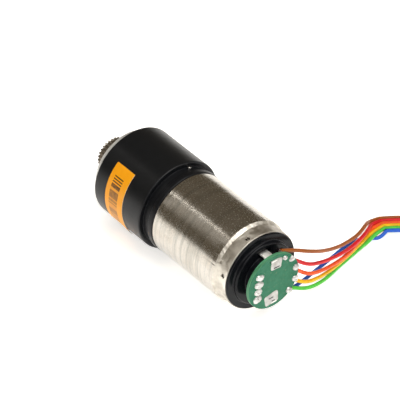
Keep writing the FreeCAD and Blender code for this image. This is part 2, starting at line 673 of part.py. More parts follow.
def grown(span, by):
    """A span made longer at both ends."""
    return (span[0] - by, span[1] + by)


def make_rear_cap():
    """The black cap: a plug in the can, a rimmed flange, a step and the boss under the board."""
    rim_front = CAN_REAR - SEAT_GAP
    groove_floor = CAP_REAR + CAP_GROOVE_DEPTH
    boss_end = BOARD_FRONT + SEAT_GAP
    cap = turned([
        (CAP_PLUG[0], CAP_SHAFT_HOLE_R), (CAP_PLUG[0], CAP_PLUG_R[0]), (CAP_PLUG[1], CAP_PLUG_R[0]),
        (CAP_PLUG[1], CAP_PLUG_R[1]), (rim_front, CAP_PLUG_R[1]), (rim_front, CAP_R, 0.15),
        (CAP_REAR, CAP_R, 0.25), (CAP_REAR, CAP_GROOVE_R[1]), (groove_floor, CAP_GROOVE_R[0]),
        (groove_floor, CAP_STEP_R), (CAP_STEP_REAR, CAP_STEP_R, 0.3), (CAP_STEP_REAR, CAP_BOSS_R),
        (boss_end, CAP_BOSS_R), (boss_end, CAP_BOSS_BORE_R), (CAP_BOSS_FLOOR, CAP_BOSS_BORE_R),
        (CAP_BOSS_FLOOR, CAP_SHAFT_HOLE_R)])
    slot = block((CAP_STEP_REAR - 1, CAP_PLUG[0] + 1), grown(TERMINAL_Y, SEAT_GAP),
                 grown(TERMINAL_Z, SEAT_GAP))
    save("rear_cap", cut_all(cap, around(slot, 2)))


def make_terminals_and_brushes():
    """Two tabs that run from the brushes through the cap and into the board."""
    tab = block((TERMINAL_END, TERMINAL_FRONT[1]), TERMINAL_Y, TERMINAL_Z)
    wing = block(TERMINAL_FRONT, WING_Y, TERMINAL_Z)
    save("motor_terminals", Part.makeCompound(around(tab.fuse(wing).removeSplitter(), 2)))
    leaf = block(TERMINAL_FRONT, BRUSH_Y, (-1.5, TERMINAL_Z[0]))
    save("brushes", Part.makeCompound(around(leaf, 2)))


# ---------------------------------------------------------------- encoder board

# Solder on the rear face: (y, z, radius, height).
SOLDER_DOMES = [
    (4.2, 3.3, 0.95, 0.6), (4.5, 1.2, 0.95, 0.6), (4.7, -0.8, 0.95, 0.6), (4.9, -2.9, 0.95, 0.6),
    (-3.3, 5.5, 0.7, 0.5), (-5.2, 4.0, 0.8, 0.6), (-6.4, 0.8, 0.85, 0.6), (-6.2, -2.5, 0.85, 0.6),
    (-4.4, -4.9, 0.85, 0.6)]
# Flat pads round the motor's terminals: (y span, z span).
SOLDER_PADS = [((-2.4, 0.9), (3.4, 6.5)), ((-1.4, 2.6), (-6.6, -3.3))]
PAD_HEIGHT = 0.3
BOARD_SLOT_GAP = 0.1        # round each terminal
SENSOR_HEIGHT = 0.9
SENSOR_Y = (-1.4, 1.4)
SENSOR_Z = (1.7, 3.3)
SENSORS = 3


def solder_dome(y, z, radius, height):
    """A low dome of solder on the rear face of the board."""
    ball_r = (radius ** 2 + height ** 2) / (2 * height)
    ball = Part.makeSphere(ball_r, FreeCAD.Vector(BOARD_REAR - height + ball_r, y, z))
    return ball.common(block((BOARD_REAR - 2, BOARD_REAR), (y - 2, y + 2), (z - 2, z + 2)))


def make_encoder_board():
    """The round board with its solder joints, and the sensors that read the encoder magnet."""
    through = (BOARD_REAR - 1, BOARD_FRONT + 1)
    slot = block(through, grown(TERMINAL_Y, BOARD_SLOT_GAP), grown(TERMINAL_Z, BOARD_SLOT_GAP))
    board = disc(BOARD_R, BOARD_REAR, BOARD_FRONT)
    save("encoder_board", cut_all(board, around(slot, 2)))
    solder = [solder_dome(*dome) for dome in SOLDER_DOMES]
    tab = block(through, grown(TERMINAL_Y, SEAT_GAP), grown(TERMINAL_Z, SEAT_GAP))
    for ys, zs in SOLDER_PADS:
        pad = block((BOARD_REAR - PAD_HEIGHT, BOARD_REAR), ys, zs)
        solder.append(cut_all(pad, around(tab, 2)))
    save("solder_joints", Part.makeCompound(solder))
    chip = block((BOARD_FRONT + FIT_GAP, BOARD_FRONT + SENSOR_HEIGHT), SENSOR_Y, SENSOR_Z)
    save("hall_sensors", Part.makeCompound(around(chip, SENSORS)))


# ---------------------------------------------------------------- wires, ribbon and socket

SOCKET_LENGTH = 6.0         # along the ribbon
SOCKET_WIDTH = 8.2
SOCKET_TOP = 4.6            # above the ribbon's middle
CLAMP_THICKNESS = 0.9
CONTACT_PITCH = 2.0
CONTACT_FLOOR = 1.0
WAY_HALF = 0.5
POST_HALF = 0.35
FORK_GAP_HALF = 0.2
FORK_FLOOR = 1.6
CLAMP_INSET = 0.4
HOOK_INSET = 1.6
HOOK_THICKNESS = 0.6
HOOK_TOP = 2.4


def make_socket():
    """A six-way socket pressed on the ribbon's end: body, clamp bar and contacts."""
    half = RIBBON_THICKNESS / 2
    sides = (-SOCKET_WIDTH / 2, SOCKET_WIDTH / 2)
    body = block((0, SOCKET_LENGTH), sides, (half, SOCKET_TOP))
    ways = [(row, column) for row in (-0.5, 0.5) for column in (-1, 0, 1)]
    holes = []
    contacts = []
    for row, column in ways:
        x = SOCKET_LENGTH / 2 + row * CONTACT_PITCH
        y = column * CONTACT_PITCH
        way = (CONTACT_FLOOR, SOCKET_TOP + 1)
        holes.append(block(grown((x, x), WAY_HALF), grown((y, y), WAY_HALF), way))
        post = block(grown((x, x), POST_HALF), grown((y, y), POST_HALF),
                     (CONTACT_FLOOR, SOCKET_TOP - 0.4))
        fork_gap = block(grown((x, x), FORK_GAP_HALF), grown((y, y), 1), (FORK_FLOOR, SOCKET_TOP))
        contacts.append(post.cut(fork_gap))
    clamp_z = (-half - CLAMP_THICKNESS, -half)
    clamp = block((CLAMP_INSET, SOCKET_LENGTH - CLAMP_INSET), sides, clamp_z)
    hook = block((HOOK_INSET, SOCKET_LENGTH - HOOK_INSET), (sides[1], sides[1] + HOOK_THICKNESS),
                 (clamp_z[0], HOOK_TOP))
    other_hook = hook.mirror(ORIGIN, FreeCAD.Vector(0, 1, 0))
    clamp = clamp.fuse(hook).fuse(other_hook).removeSplitter()
    end = FreeCAD.Vector(*RIBBON_ROUTE[-1])
    before = FreeCAD.Vector(*RIBBON_ROUTE[-2])
    heading = math.degrees(math.atan2(end.y - before.y, end.x - before.x))
    pieces = {
        "socket_body": cut_all(body, holes),
        "socket_clamp": clamp,
        "socket_contacts": Part.makeCompound(contacts),
    }
    for node, shape in pieces.items():
        shape.rotate(ORIGIN, Z_AXIS, heading)
        shape.translate(end)
        save(node, shape)


def make_cable():
    """The six wires, the ribbon that they join into and its socket."""
    for name, points in WIRE_ROUTES.items():
        save(name, tube(name, points, WIRE_R))
    save("ribbon_cable", strip("ribbon_cable", RIBBON_ROUTE, RIBBON_WIDTH, RIBBON_THICKNESS))
    make_socket()


def main():
    os.makedirs("parts", exist_ok=True)
    make_gearbox_housing()
    make_label()
    make_front_plate()
    make_ring_gear()
    make_front_bearing()
    make_output_shaft()
    make_output_pinion()
    make_circlip()
    make_output_bush()
    make_planet_stages()
    make_adapter()
    make_motor_can()
    make_motor_front_plate()
    make_stator()
    make_rotor()
    make_rear_cap()
    make_terminals_and_brushes()
    make_encoder_board()
    make_cable()


main()
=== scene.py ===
import json
from math import acos, atan2, ceil, copysign, cos, degrees, exp, hypot, pi, radians, remainder, sin, sqrt, tan

import bmesh
import bpy
from mathutils import Matrix, Vector, noise


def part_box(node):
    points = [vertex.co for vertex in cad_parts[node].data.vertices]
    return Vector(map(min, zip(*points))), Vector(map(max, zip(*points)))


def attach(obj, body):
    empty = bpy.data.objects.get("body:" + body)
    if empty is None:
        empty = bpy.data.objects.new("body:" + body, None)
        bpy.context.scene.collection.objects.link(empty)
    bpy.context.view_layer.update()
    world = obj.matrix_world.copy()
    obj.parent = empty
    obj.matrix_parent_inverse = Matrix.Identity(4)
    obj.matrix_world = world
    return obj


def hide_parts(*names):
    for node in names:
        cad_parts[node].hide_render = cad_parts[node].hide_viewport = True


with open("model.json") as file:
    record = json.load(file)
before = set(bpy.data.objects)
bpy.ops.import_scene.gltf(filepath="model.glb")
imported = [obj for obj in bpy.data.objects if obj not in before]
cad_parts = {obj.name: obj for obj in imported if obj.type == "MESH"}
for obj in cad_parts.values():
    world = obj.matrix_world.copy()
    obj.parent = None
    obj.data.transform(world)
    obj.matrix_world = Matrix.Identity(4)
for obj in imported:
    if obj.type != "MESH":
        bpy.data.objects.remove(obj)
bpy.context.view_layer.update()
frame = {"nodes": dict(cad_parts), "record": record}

# Geared DC motor: the visual model.
#
# The frame is the object's own: X is the axis that everything turns on, +X points out of the output
# end, +Z is up and the origin is the centre of the front mounting face.  Blender works in metres.
# Shapes are worked out in millimetres, and MM turns them into metres when their meshes are made.
# A shape is a pair: its points, and its faces as tuples of point numbers.

MM = 0.001
X_AXIS = Vector((1, 0, 0))
SLOTS = {part["node"]: part["material_slot"] for part in frame["record"]["subparts"]}


def node_box(node):
    """Lowest and highest corner of a CAD node, in millimetres."""
    low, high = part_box(node)
    return low / MM, high / MM


def show(piece):
    """Puts an object in the scene."""
    bpy.context.scene.collection.objects.link(piece)


# ---- sizes taken from the frame

HOUSING = node_box("gearbox_housing")
HOUSING_R = HOUSING[1].y
HOUSING_REAR = HOUSING[0].x
HOUSING_FRONT = HOUSING[1].x
FLOOR_Z = HOUSING[0].z
PLATE = node_box("front_plate")
ADAPTER = node_box("adapter_flange")
CAN = node_box("motor_can")
CAN_R = CAN[1].y
CAP = node_box("rear_cap")
CAP_R = CAP[1].y
BOARD = node_box("encoder_board")
BOARD_R = BOARD[1].y
BOARD_FRONT = BOARD[1].x
BOARD_REAR = BOARD[0].x
PINION = node_box("output_pinion")
SHAFT = node_box("output_shaft")
LABEL = node_box("label")

# ---- camera

CAMERA_AT = Vector((-486.7, 366.6, 484.2))
CAMERA_LOOK = Vector((0.60598, -0.48460, -0.63083))
CAMERA_LENS = 287.2
CAMERA_SENSOR = 36.0


def make_camera():
    """A long lens, above and behind the motor's left side."""
    data = bpy.data.cameras.new("camera")
    data.lens = CAMERA_LENS
    data.sensor_width = CAMERA_SENSOR
    data.clip_start = 0.01
    data.clip_end = 20.0
    camera = bpy.data.objects.new("camera", data)
    camera.location = CAMERA_AT * MM
    camera.rotation_mode = "QUATERNION"
    camera.rotation_quaternion = CAMERA_LOOK.to_track_quat("-Z", "Y")
    show(camera)
    bpy.context.scene.camera = camera


# ---- shader steps

MATERIALS = {}


def begin_nodes(owner):
    """Turns to the nodes of a new material or world.  Every step below adds its nodes to TREE."""
    global TREE
    owner.use_nodes = True
    TREE = owner.node_tree


def new_material(name, colour, roughness, metallic=0.0):
    """A Principled material with its constant values set on the shader's own sockets."""
    MATERIALS[name] = bpy.data.materials.new(name)
    begin_nodes(MATERIALS[name])
    set_constant("Base Color", (*colour, 1))
    set_constant("Roughness", roughness)
    set_constant("Metallic", metallic)


def add_node(kind, **values):
    """A new shader node.  A value or a socket is for the input of its name, or else for a property."""
    node = TREE.nodes.new("ShaderNode" + kind)
    for key, value in values.items():
        label = key.replace("_", " ").title()
        if isinstance(value, bpy.types.NodeSocket):
            link(value, node.inputs[label])
        elif label in node.inputs:
            node.inputs[label].default_value = value
        else:
            setattr(node, key, value)
    return node


def link(source, target):
    TREE.links.new(source, target)


def place(stretch=(1, 1, 1)):
    """The point on the piece in millimetres, stretched along each axis."""
    point = add_node("TexCoord").outputs["Object"]
    return add_node("Mapping", vector=point, scale=[s / MM for s in stretch]).outputs["Vector"]


def split_up(vector):
    """The three parts of a vector."""
    return add_node("SeparateXYZ", vector=vector).outputs


def sums(operation, first, second=None):
    """One step of arithmetic on values or sockets."""
    node = add_node("Math", operation=operation)
    for socket, value in zip(node.inputs, (first, second)):
        if isinstance(value, (int, float)):
            socket.default_value = value
        elif value is not None:
            link(value, socket)
    return node.outputs[0]


def times(first, second):
    return sums("MULTIPLY", first, second)


def plus(first, second):
    return sums("ADD", first, second)


def turned_place(across, along):
    """A point that changes quickly across the marks of turning, and slowly along them."""
    x, y, z = split_up(place())
    radius = sums("SQRT", plus(times(y, y), times(z, z)))
    quick = times(plus(x, radius), across)
    return add_node("CombineXYZ", x=quick, y=times(y, along), z=times(z, along)).outputs[0]


def noise_of(scale=1.0, detail=3.0, rough=0.5, at=None):
    """Noise from 0 to 1, with the scale per millimetre, at a vector or at the place on the piece."""
    at = place() if at is None else at
    return add_node("TexNoise", vector=at, scale=scale, detail=detail, roughness=rough).outputs["Fac"]


def ramp(factor, low, high, start=0.0, end=1.0):
    """A value that goes from low to high as the factor goes from start to end."""
    ends = {"from_min": start, "from_max": end, "to_min": low, "to_max": high}
    return add_node("MapRange", value=factor, **ends).outputs["Result"]


def mixed(factor, first, second):
    """A mix of two colours, each a triple or a socket."""
    node = add_node("Mix", data_type="RGBA")
    link(factor, node.inputs[0])
    for socket, value in ((node.inputs[6], first), (node.inputs[7], second)):
        if isinstance(value, tuple):
            socket.default_value = (*value, 1)
        else:
            link(value, socket)
    return node.outputs[2]


def set_input(name, source):
    link(source, TREE.nodes["Principled BSDF"].inputs[name])


def set_constant(name, value):
    TREE.nodes["Principled BSDF"].inputs[name].default_value = value


def stained(factor, first, second, start=0.0, end=1.0, most=1):
    """The first colour, with the second over it where the factor has passed start."""
    return mixed(ramp(factor, 0, most, start, end), first, second)


def set_colour(*stain):
    set_input("Base Color", stained(*stain))


def set_roughness(factor, roughness, start=0.0, end=1.0):
    set_input("Roughness", ramp(factor, *roughness, start, end))


def roughen(height, depth):
    """Bump on the surface, its depth in millimetres."""
    bump = add_node("Bump", height=height, distance=depth * MM, strength=1.0)
    set_input("Normal", bump.outputs["Normal"])


# ---- materials


def metal(name, colour, stain, roughness, turned=0.0, grain=6.0, depth=0.004):
    """Bare metal: stained unevenly, with turning marks or a cast grain in its bump."""
    new_material(name, colour, roughness[0], metallic=1.0)
    set_colour(noise_of(0.35, 4), colour, stain, 0.35, 0.75)
    fine = noise_of(grain, 5, 0.6)
    marks = fine
    if turned:
        marks = noise_of(1.0, 3, at=turned_place(turned, 0.12))
    set_roughness(marks, roughness, 0.3, 0.7)
    roughen(plus(marks, times(fine, 0.5)), depth)


def painted_black(name, colour, roughness, turned):
    """Black anodised or painted metal, with faint turning marks, dust and rubbed spots."""
    new_material(name, colour, roughness[0])
    dust = noise_of(2.6, 8, 0.75)
    worn = tuple(min(1.0, c * 3.5 + 0.004) for c in colour)
    set_colour(dust, colour, worn, 0.6, 0.85)
    marks = noise_of(1.0, 4, at=turned_place(turned, 0.1))
    both = plus(times(marks, 0.5), times(noise_of(0.5, 3), 0.5))
    set_roughness(both, roughness, 0.35, 0.65)
    roughen(plus(marks, dust), 0.0022)


def plastic(name, colour, roughness, depth=0.003, grain=5.0, change=0.25):
    """Moulded plastic or insulation with slightly uneven colour and gloss."""
    new_material(name, colour, roughness[0])
    deep = tuple(c * (1 - change) for c in colour)
    set_colour(noise_of(0.8, 4), colour, deep, 0.3, 0.7)
    fine = noise_of(grain, 4, 0.6)
    set_roughness(fine, roughness, 0.3, 0.7)
    roughen(fine, depth)


def can_nickel():
    """Dull nickel plating on drawn steel: warm stains, fine rings and a sparkling grain."""
    colour = (0.62, 0.59, 0.54)
    new_material("can_nickel", colour, 0.2, metallic=1.0)
    cloud = noise_of(0.35, 5, 0.6, place((0.5, 1, 1)))
    warm = stained(cloud, colour, (0.52, 0.475, 0.41), 0.42, 0.78)
    specked = stained(noise_of(5.5, 2), warm, (0.2, 0.17, 0.13), 0.66, 0.74, 0.5)
    streaks = noise_of(1.0, 4, 0.6, turned_place(1.3, 0.06))
    set_colour(streaks, specked, (0.36, 0.35, 0.31), 0.45, 0.7, 0.75)
    rings = noise_of(1.0, 3, at=turned_place(3.2, 0.08))
    grain = noise_of(3.2, 6, 0.7)
    set_roughness(grain, (0.13, 0.3), 0.35, 0.65)
    roughen(plus(times(rings, 1.1), grain), 0.014)


BAR_SPAN = (-11.4, -8.2)  # the printed bars: their stretch along X
BAR_ANGLES = (-30.0, 35.7)  # and round the axis, in degrees from +Y towards +Z
BAR_MODULE = 0.34  # width of the thinnest bar, in millimetres
BAR_BARE_SHARE = 0.42  # share of the modules that stay bare
BAR_FADED_BELOW = 25.5  # the print is worn below this angle
LABEL_ORANGE = (1.0, 0.41, 0.006)
LABEL_BLOTCH = (0.95, 0.36, 0.004)
LABEL_SMUDGE = (0.36, 0.13, 0.02)
LABEL_INK = (0.035, 0.014, 0.006)


def between(value, low, high):
    """1 where the value is inside a span, and 0 elsewhere."""
    return times(sums("GREATER_THAN", value, low), sums("LESS_THAN", value, high))


def label_paper():
    """Orange paper with a worn block of plain bars that stand for a bar code."""
    new_material("label_paper", LABEL_ORANGE, 0.5)
    set_constant("Specular IOR Level", 0.3)
    x, y, z = split_up(place())
    angle = sums("DEGREES", sums("ARCTAN2", z, y))
    step = degrees(BAR_MODULE / HOUSING_R)
    count = sums("FLOOR", sums("DIVIDE", angle, step))
    chance = add_node("TexWhiteNoise", noise_dimensions="1D", w=count).outputs["Value"]
    broad = sums("GREATER_THAN", chance, BAR_BARE_SHARE)
    fresh = sums("GREATER_THAN", angle, BAR_FADED_BELOW)
    every_other = times(fresh, sums("MODULO", count, 2.0))
    bar = sums("MAXIMUM", every_other, sums("GREATER_THAN", broad, fresh))
    block = times(between(x, *BAR_SPAN), between(angle, *BAR_ANGLES))
    faded = ramp(angle, 0.5, 0.95, BAR_FADED_BELOW - 20, BAR_FADED_BELOW)
    faded = times(faded, ramp(noise_of(1.1, 5, 0.65), 0.6, 1.0, 0.3, 0.6))
    strength = sums("MAXIMUM", faded, times(fresh, 0.9))
    smudge = times(block, ramp(angle, 0.34, 0.0, 16, BAR_FADED_BELOW))
    paper = stained(noise_of(0.6, 3), LABEL_ORANGE, LABEL_BLOTCH, 0.3, 0.8)
    ink = times(times(bar, block), strength)
    set_input("Base Color", mixed(ink, mixed(smudge, paper, LABEL_SMUDGE), LABEL_INK))
    fibre = noise_of(9.0, 3)
    set_roughness(fibre, (0.28, 0.42))
    roughen(fibre, 0.004)


def board_green():
    """Green solder resist with pale stains of flux."""
    green = (0.01, 0.145, 0.068)
    new_material("board_green", green, 0.5)
    set_constant("Specular IOR Level", 0.3)
    resist = stained(noise_of(0.7, 4), green, (0.02, 0.185, 0.095), 0.3, 0.7)
    flux = noise_of(1.6, 4, 0.6)
    set_colour(flux, resist, (0.24, 0.26, 0.13), 0.6, 0.75, 0.35)
    weave = noise_of(8.0, 2)
    set_roughness(weave, (0.42, 0.58))
    roughen(plus(weave, flux), 0.006)


def board_edge():
    """The cut edge of the board: pale laminate with darker glass layers."""
    new_material("board_edge", (0.14, 0.34, 0.2), 0.55)
    layers = noise_of(1.0, 3, at=place((7, 0.25, 0.25)))
    set_colour(layers, (0.1, 0.4, 0.2), (0.05, 0.17, 0.08), 0.35, 0.65)
    roughen(layers, 0.02)


def coil_copper():
    """Two crossing layers of fine enamelled wire, bonded into a tube."""
    new_material("coil_copper", (0.6, 0.24, 0.1), 0.35, metallic=1.0)
    x, y, z = split_up(place())
    round_it = times(sums("ARCTAN2", z, y), 60.0)
    rise = times(x, 9.0)
    rising, falling = (sums("SINE", sums(way, round_it, rise)) for way in ("ADD", "SUBTRACT"))
    wires = sums("MAXIMUM", rising, falling)
    set_colour(wires, (0.35, 0.11, 0.04), (0.72, 0.3, 0.13))
    roughen(wires, 0.05)


# Bare metals: colour, colour of the stains, roughness, and then turning marks, grain and depth.
METALS = {
    "plate_steel": ((0.9, 0.9, 0.88), (0.8, 0.79, 0.76), (0.42, 0.55), 2.6, 6.0, 0.006),
    "gear_steel": ((0.46, 0.42, 0.36), (0.25, 0.215, 0.175), (0.24, 0.4), 0.0, 5.0, 0.012),
    "bearing_steel": ((0.8, 0.8, 0.79), (0.7, 0.69, 0.66), (0.08, 0.16), 4.0, 6.0, 0.001),
    "cage_brass": ((0.75, 0.5, 0.2), (0.55, 0.33, 0.12), (0.25, 0.4)),
    "shaft_steel": ((0.66, 0.65, 0.63), (0.55, 0.53, 0.5), (0.16, 0.3), 5.0, 6.0, 0.003),
    "bush_bronze": ((0.5, 0.31, 0.15), (0.34, 0.2, 0.1), (0.4, 0.6), 0.0, 9.0, 0.01),
    "magnet_grey": ((0.3, 0.3, 0.31), (0.2, 0.2, 0.21), (0.4, 0.6), 0.0, 8.0, 0.01),
    # crimp_dark is painted shade: a dark metal for the ring inside each crimp pit
    "crimp_dark": ((0.09, 0.08, 0.065), (0.04, 0.035, 0.03), (0.4, 0.6)),
    "crimp_nickel": ((0.82, 0.78, 0.7), (0.4, 0.36, 0.3), (0.28, 0.6), 0.0, 1.6, 0.03),
    "terminal_tin": ((0.93, 0.92, 0.88), (0.78, 0.76, 0.71), (0.42, 0.6), 0.0, 7.0),
    "brush_metal": ((0.8, 0.58, 0.28), (0.6, 0.4, 0.18), (0.2, 0.35)),
    "solder": ((0.8, 0.8, 0.78), (0.4, 0.39, 0.37), (0.2, 0.45), 0.0, 3.0, 0.07),
    "pad_tin": ((0.6, 0.59, 0.57), (0.26, 0.25, 0.23), (0.3, 0.55), 0.0, 1.8, 0.12),
    "contact_gold": ((0.9, 0.66, 0.28), (0.8, 0.55, 0.2), (0.12, 0.25)),
}

# Plastics and paper: colour, roughness, and then depth and grain of the bump.
PLASTICS = {
    "washer_plastic": ((0.76, 0.72, 0.6), (0.4, 0.55)),
    "hub_plastic": ((0.05, 0.05, 0.055), (0.4, 0.55)),
    "cap_black": ((0.006, 0.0066, 0.0085), (0.16, 0.22), 0.001, 1.5),
    "chip_black": ((0.02, 0.02, 0.02), (0.45, 0.6)),
    "ribbon_insulation": ((0.33, 0.12, 0.05), (0.35, 0.5)),
    "socket_plastic": ((0.016, 0.016, 0.018), (0.35, 0.5), 0.006, 3.0),
    "paper_core": ((0.85, 0.78, 0.62), (0.7, 0.85)),
}

# Painted metals: colour, roughness and turning marks.
PAINTS = {
    "housing_black": ((0.0055, 0.0062, 0.0075), (0.3, 0.38), 2.2),
    "adapter_black": ((0.005, 0.0056, 0.007), (0.3, 0.42), 3.5),
}

INSULATION = {
    "brown": (0.36, 0.092, 0.009), "red": (0.72, 0.012, 0.02), "orange": (0.93, 0.105, 0.018),
    "yellow": (0.95, 0.53, 0.006), "green": (0.09, 0.6, 0.06), "blue": (0.018, 0.12, 0.62),
}
OWN_CONSTANTS = {
    "housing_black": ("IOR", 1.36), "adapter_black": ("IOR", 1.3), "cap_black": ("IOR", 1.26),
    "plate_steel": ("Metallic", 0.7),
}


def make_materials():
    """One finished material for every slot of the record, and a few more."""
    for maker in (label_paper, can_nickel, board_green, board_edge, coil_copper):
        maker()
    for maker, rows in ((metal, METALS), (plastic, PLASTICS), (painted_black, PAINTS)):
        for name, values in rows.items():
            maker(name, *values)
            if name in OWN_CONSTANTS:
                set_constant(*OWN_CONSTANTS[name])
    for name, colour in INSULATION.items():
        plastic("insulation_" + name, colour, (0.3, 0.42), 0.004, 2.0, 0.18)
        set_constant("Specular IOR Level", 0.35)


# ---- mesh helpers

TURNS = 360  # segments in a full turn
SHARP = radians(32)  # an edge that turns more than this is a crisp one
TINY = 1e-6


def finish_mesh(mesh):
    """Faces out the normals, smooths the shading and keeps real corners crisp."""
    work = bmesh.new()
    work.from_mesh(mesh)
    bmesh.ops.remove_doubles(work, verts=work.verts, dist=1e-7)
    bmesh.ops.recalc_face_normals(work, faces=work.faces)
    for edge in work.edges:
        edge.smooth = len(edge.link_faces) != 2 or edge.calc_face_angle(0) < SHARP
    for face in work.faces:
        face.smooth = True
    work.to_mesh(mesh)
    work.free()


def new_object(name, shape, shades=()):
    """An object with a finished mesh of the shape.  Shades are its faces' material numbers."""
    points, faces = shape
    mesh = bpy.data.meshes.new(name)
    mesh.from_pydata([Vector(p) * MM for p in points], [], faces)
    for face, shade in zip(mesh.polygons, shades):
        face.material_index = shade
    finish_mesh(mesh)
    return bpy.data.objects.new(name, mesh)


def adopt(piece, name, extra=(), body="base", slot=None):
    """Puts a piece in the scene, on its body and in the material of its slot.

    It stands for the CAD node of its name, unless it is an added piece that is given a slot.
    """
    stands_for = [] if slot else [name]
    slot = slot or SLOTS[name]
    show(piece)
    for material in (slot, *extra):
        piece.data.materials.append(MATERIALS[material])
    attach(piece, body)
    if stands_for:
        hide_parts(*stands_for)
    return piece


def add_piece(name, shape, extra=(), body="base", slot=None):
    """A finished piece made from a shape."""
    return adopt(new_object(name, shape), name, extra, body, slot)


def rounded(corners, steps=5):
    """An outline of (x, r) points from (x, r) or (x, r, corner radius) corners."""
    points = []
    count = len(corners)
    for i, corner in enumerate(corners):
        here = Vector(corner[:2])
        if len(corner) < 3:
            points.append(here)
            continue
        back = (Vector(corners[i - 1][:2]) - here).normalized()
        ahead = (Vector(corners[(i + 1) % count][:2]) - here).normalized()
        half = back.angle(ahead) / 2
        centre = here + (back + ahead).normalized() * (corner[2] / sin(half))
        start = here + back * (corner[2] / tan(half)) - centre
        sweep = start.angle_signed(here + ahead * (corner[2] / tan(half)) - centre)
        for k in range(steps + 1):
            arm = start.copy()
            arm.rotate(Matrix.Rotation(-sweep * k / steps, 2))
            points.append(centre + arm)
    return points


def filled_in(outline, span, spacing):
    """The outline with points at most a spacing apart where both ends are inside the X span."""
    points = []
    for here, after in zip(outline, outline[1:] + outline[:1]):
        points.append(here)
        inside = min(here.x, after.x) >= span[0] - TINY and max(here.x, after.x) <= span[1] + TINY
        pieces = ceil((after - here).length / spacing) if inside else 1
        points += [here.lerp(after, k / pieces) for k in range(1, pieces)]
    return points


def bands(rings, count, loop=False):
    """Quads between neighbouring rings of points, and back to the first ring when they loop."""
    faces = []
    for ring in range(rings if loop else rings - 1):
        here, there = ring * count, (ring + 1) % rings * count
        for k in range(count):
            after = (k + 1) % count
            faces.append((here + k, here + after, there + after, there + k))
    return faces


def lathe(outline, relief=None, turns=TURNS):
    """A closed outline turned about X.  The angle runs from +Y towards +Z."""
    points = []
    for j in range(turns):
        angle = 2 * pi * j / turns
        for x, r in outline:
            if relief:
                x, r = relief(x, r, angle)
            points.append((x, r * cos(angle), r * sin(angle)))
    return points, bands(turns, len(outline), loop=True)


def evaluated_mesh(piece):
    """A mesh of the piece as its modifiers or its curve make it."""
    bpy.context.view_layer.update()
    graph = bpy.context.evaluated_depsgraph_get()
    return bpy.data.meshes.new_from_object(piece.evaluated_get(graph))


def carve(piece, shapes):
    """Cuts shapes out of a piece for good."""
    cutters = [new_object("cutter", shape) for shape in shapes]
    for cutter in cutters:
        show(cutter)
        modifier = piece.modifiers.new("cut", "BOOLEAN")
        modifier.operation = "DIFFERENCE"
        modifier.solver = "EXACT"
        modifier.object = cutter
    mesh = evaluated_mesh(piece)
    piece.modifiers.clear()
    materials = list(piece.data.materials)
    piece.data = mesh
    mesh.materials.clear()
    for material in materials:
        mesh.materials.append(material)
    finish_mesh(mesh)
    for cutter in cutters:
        bpy.data.objects.remove(cutter)


def about(middle, half):
    """The span that reaches half its width to each side of its middle."""
    return middle - half, middle + half


def soft_box(x, y, z, bevel):
    """A box with rounded edges, from its spans along the three axes."""
    work = bmesh.new()
    bmesh.ops.create_cube(work, size=1)
    spans = [sorted(span) for span in (x, y, z)]
    for vertex in work.verts:
        vertex.co = [low + (high - low) * (c + 0.5) for (low, high), c in zip(spans, vertex.co)]
    if bevel:
        bmesh.ops.bevel(work, geom=work.edges[:], offset=bevel, segments=2, profile=0.5, affect="EDGES")
    work.verts.index_update()
    points = [v.co.copy() for v in work.verts]
    faces = [[v.index for v in f.verts] for f in work.faces]
    work.free()
    return points, faces


def joined(shapes):
    """Several shapes as one."""
    points = []
    faces = []
    for more_points, more_faces in shapes:
        start = len(points)
        points += [Vector(p) for p in more_points]
        faces += [[start + i for i in face] for face in more_faces]
    return points, faces


def moved(shape, matrix):
    """The shape with a matrix applied to its points."""
    points, faces = shape
    return [matrix @ Vector(p) for p in points], faces


def spun(shape, angle):
    """The shape turned about the main axis."""
    return moved(shape, Matrix.Rotation(angle, 4, "X"))


def smoothstep(low, high, value):
    """A soft step from 0 at low to 1 at high."""
    t = min(1.0, max(0.0, (value - low) / (high - low)))
    return t * t * (3 - 2 * t)


# ---- wires, ribbon and socket

WIRE_DIAMETER = 0.95
RIBBON_PITCH = 1.0
RIBBON_THICKNESS = 0.9
COLOURS = list(INSULATION)

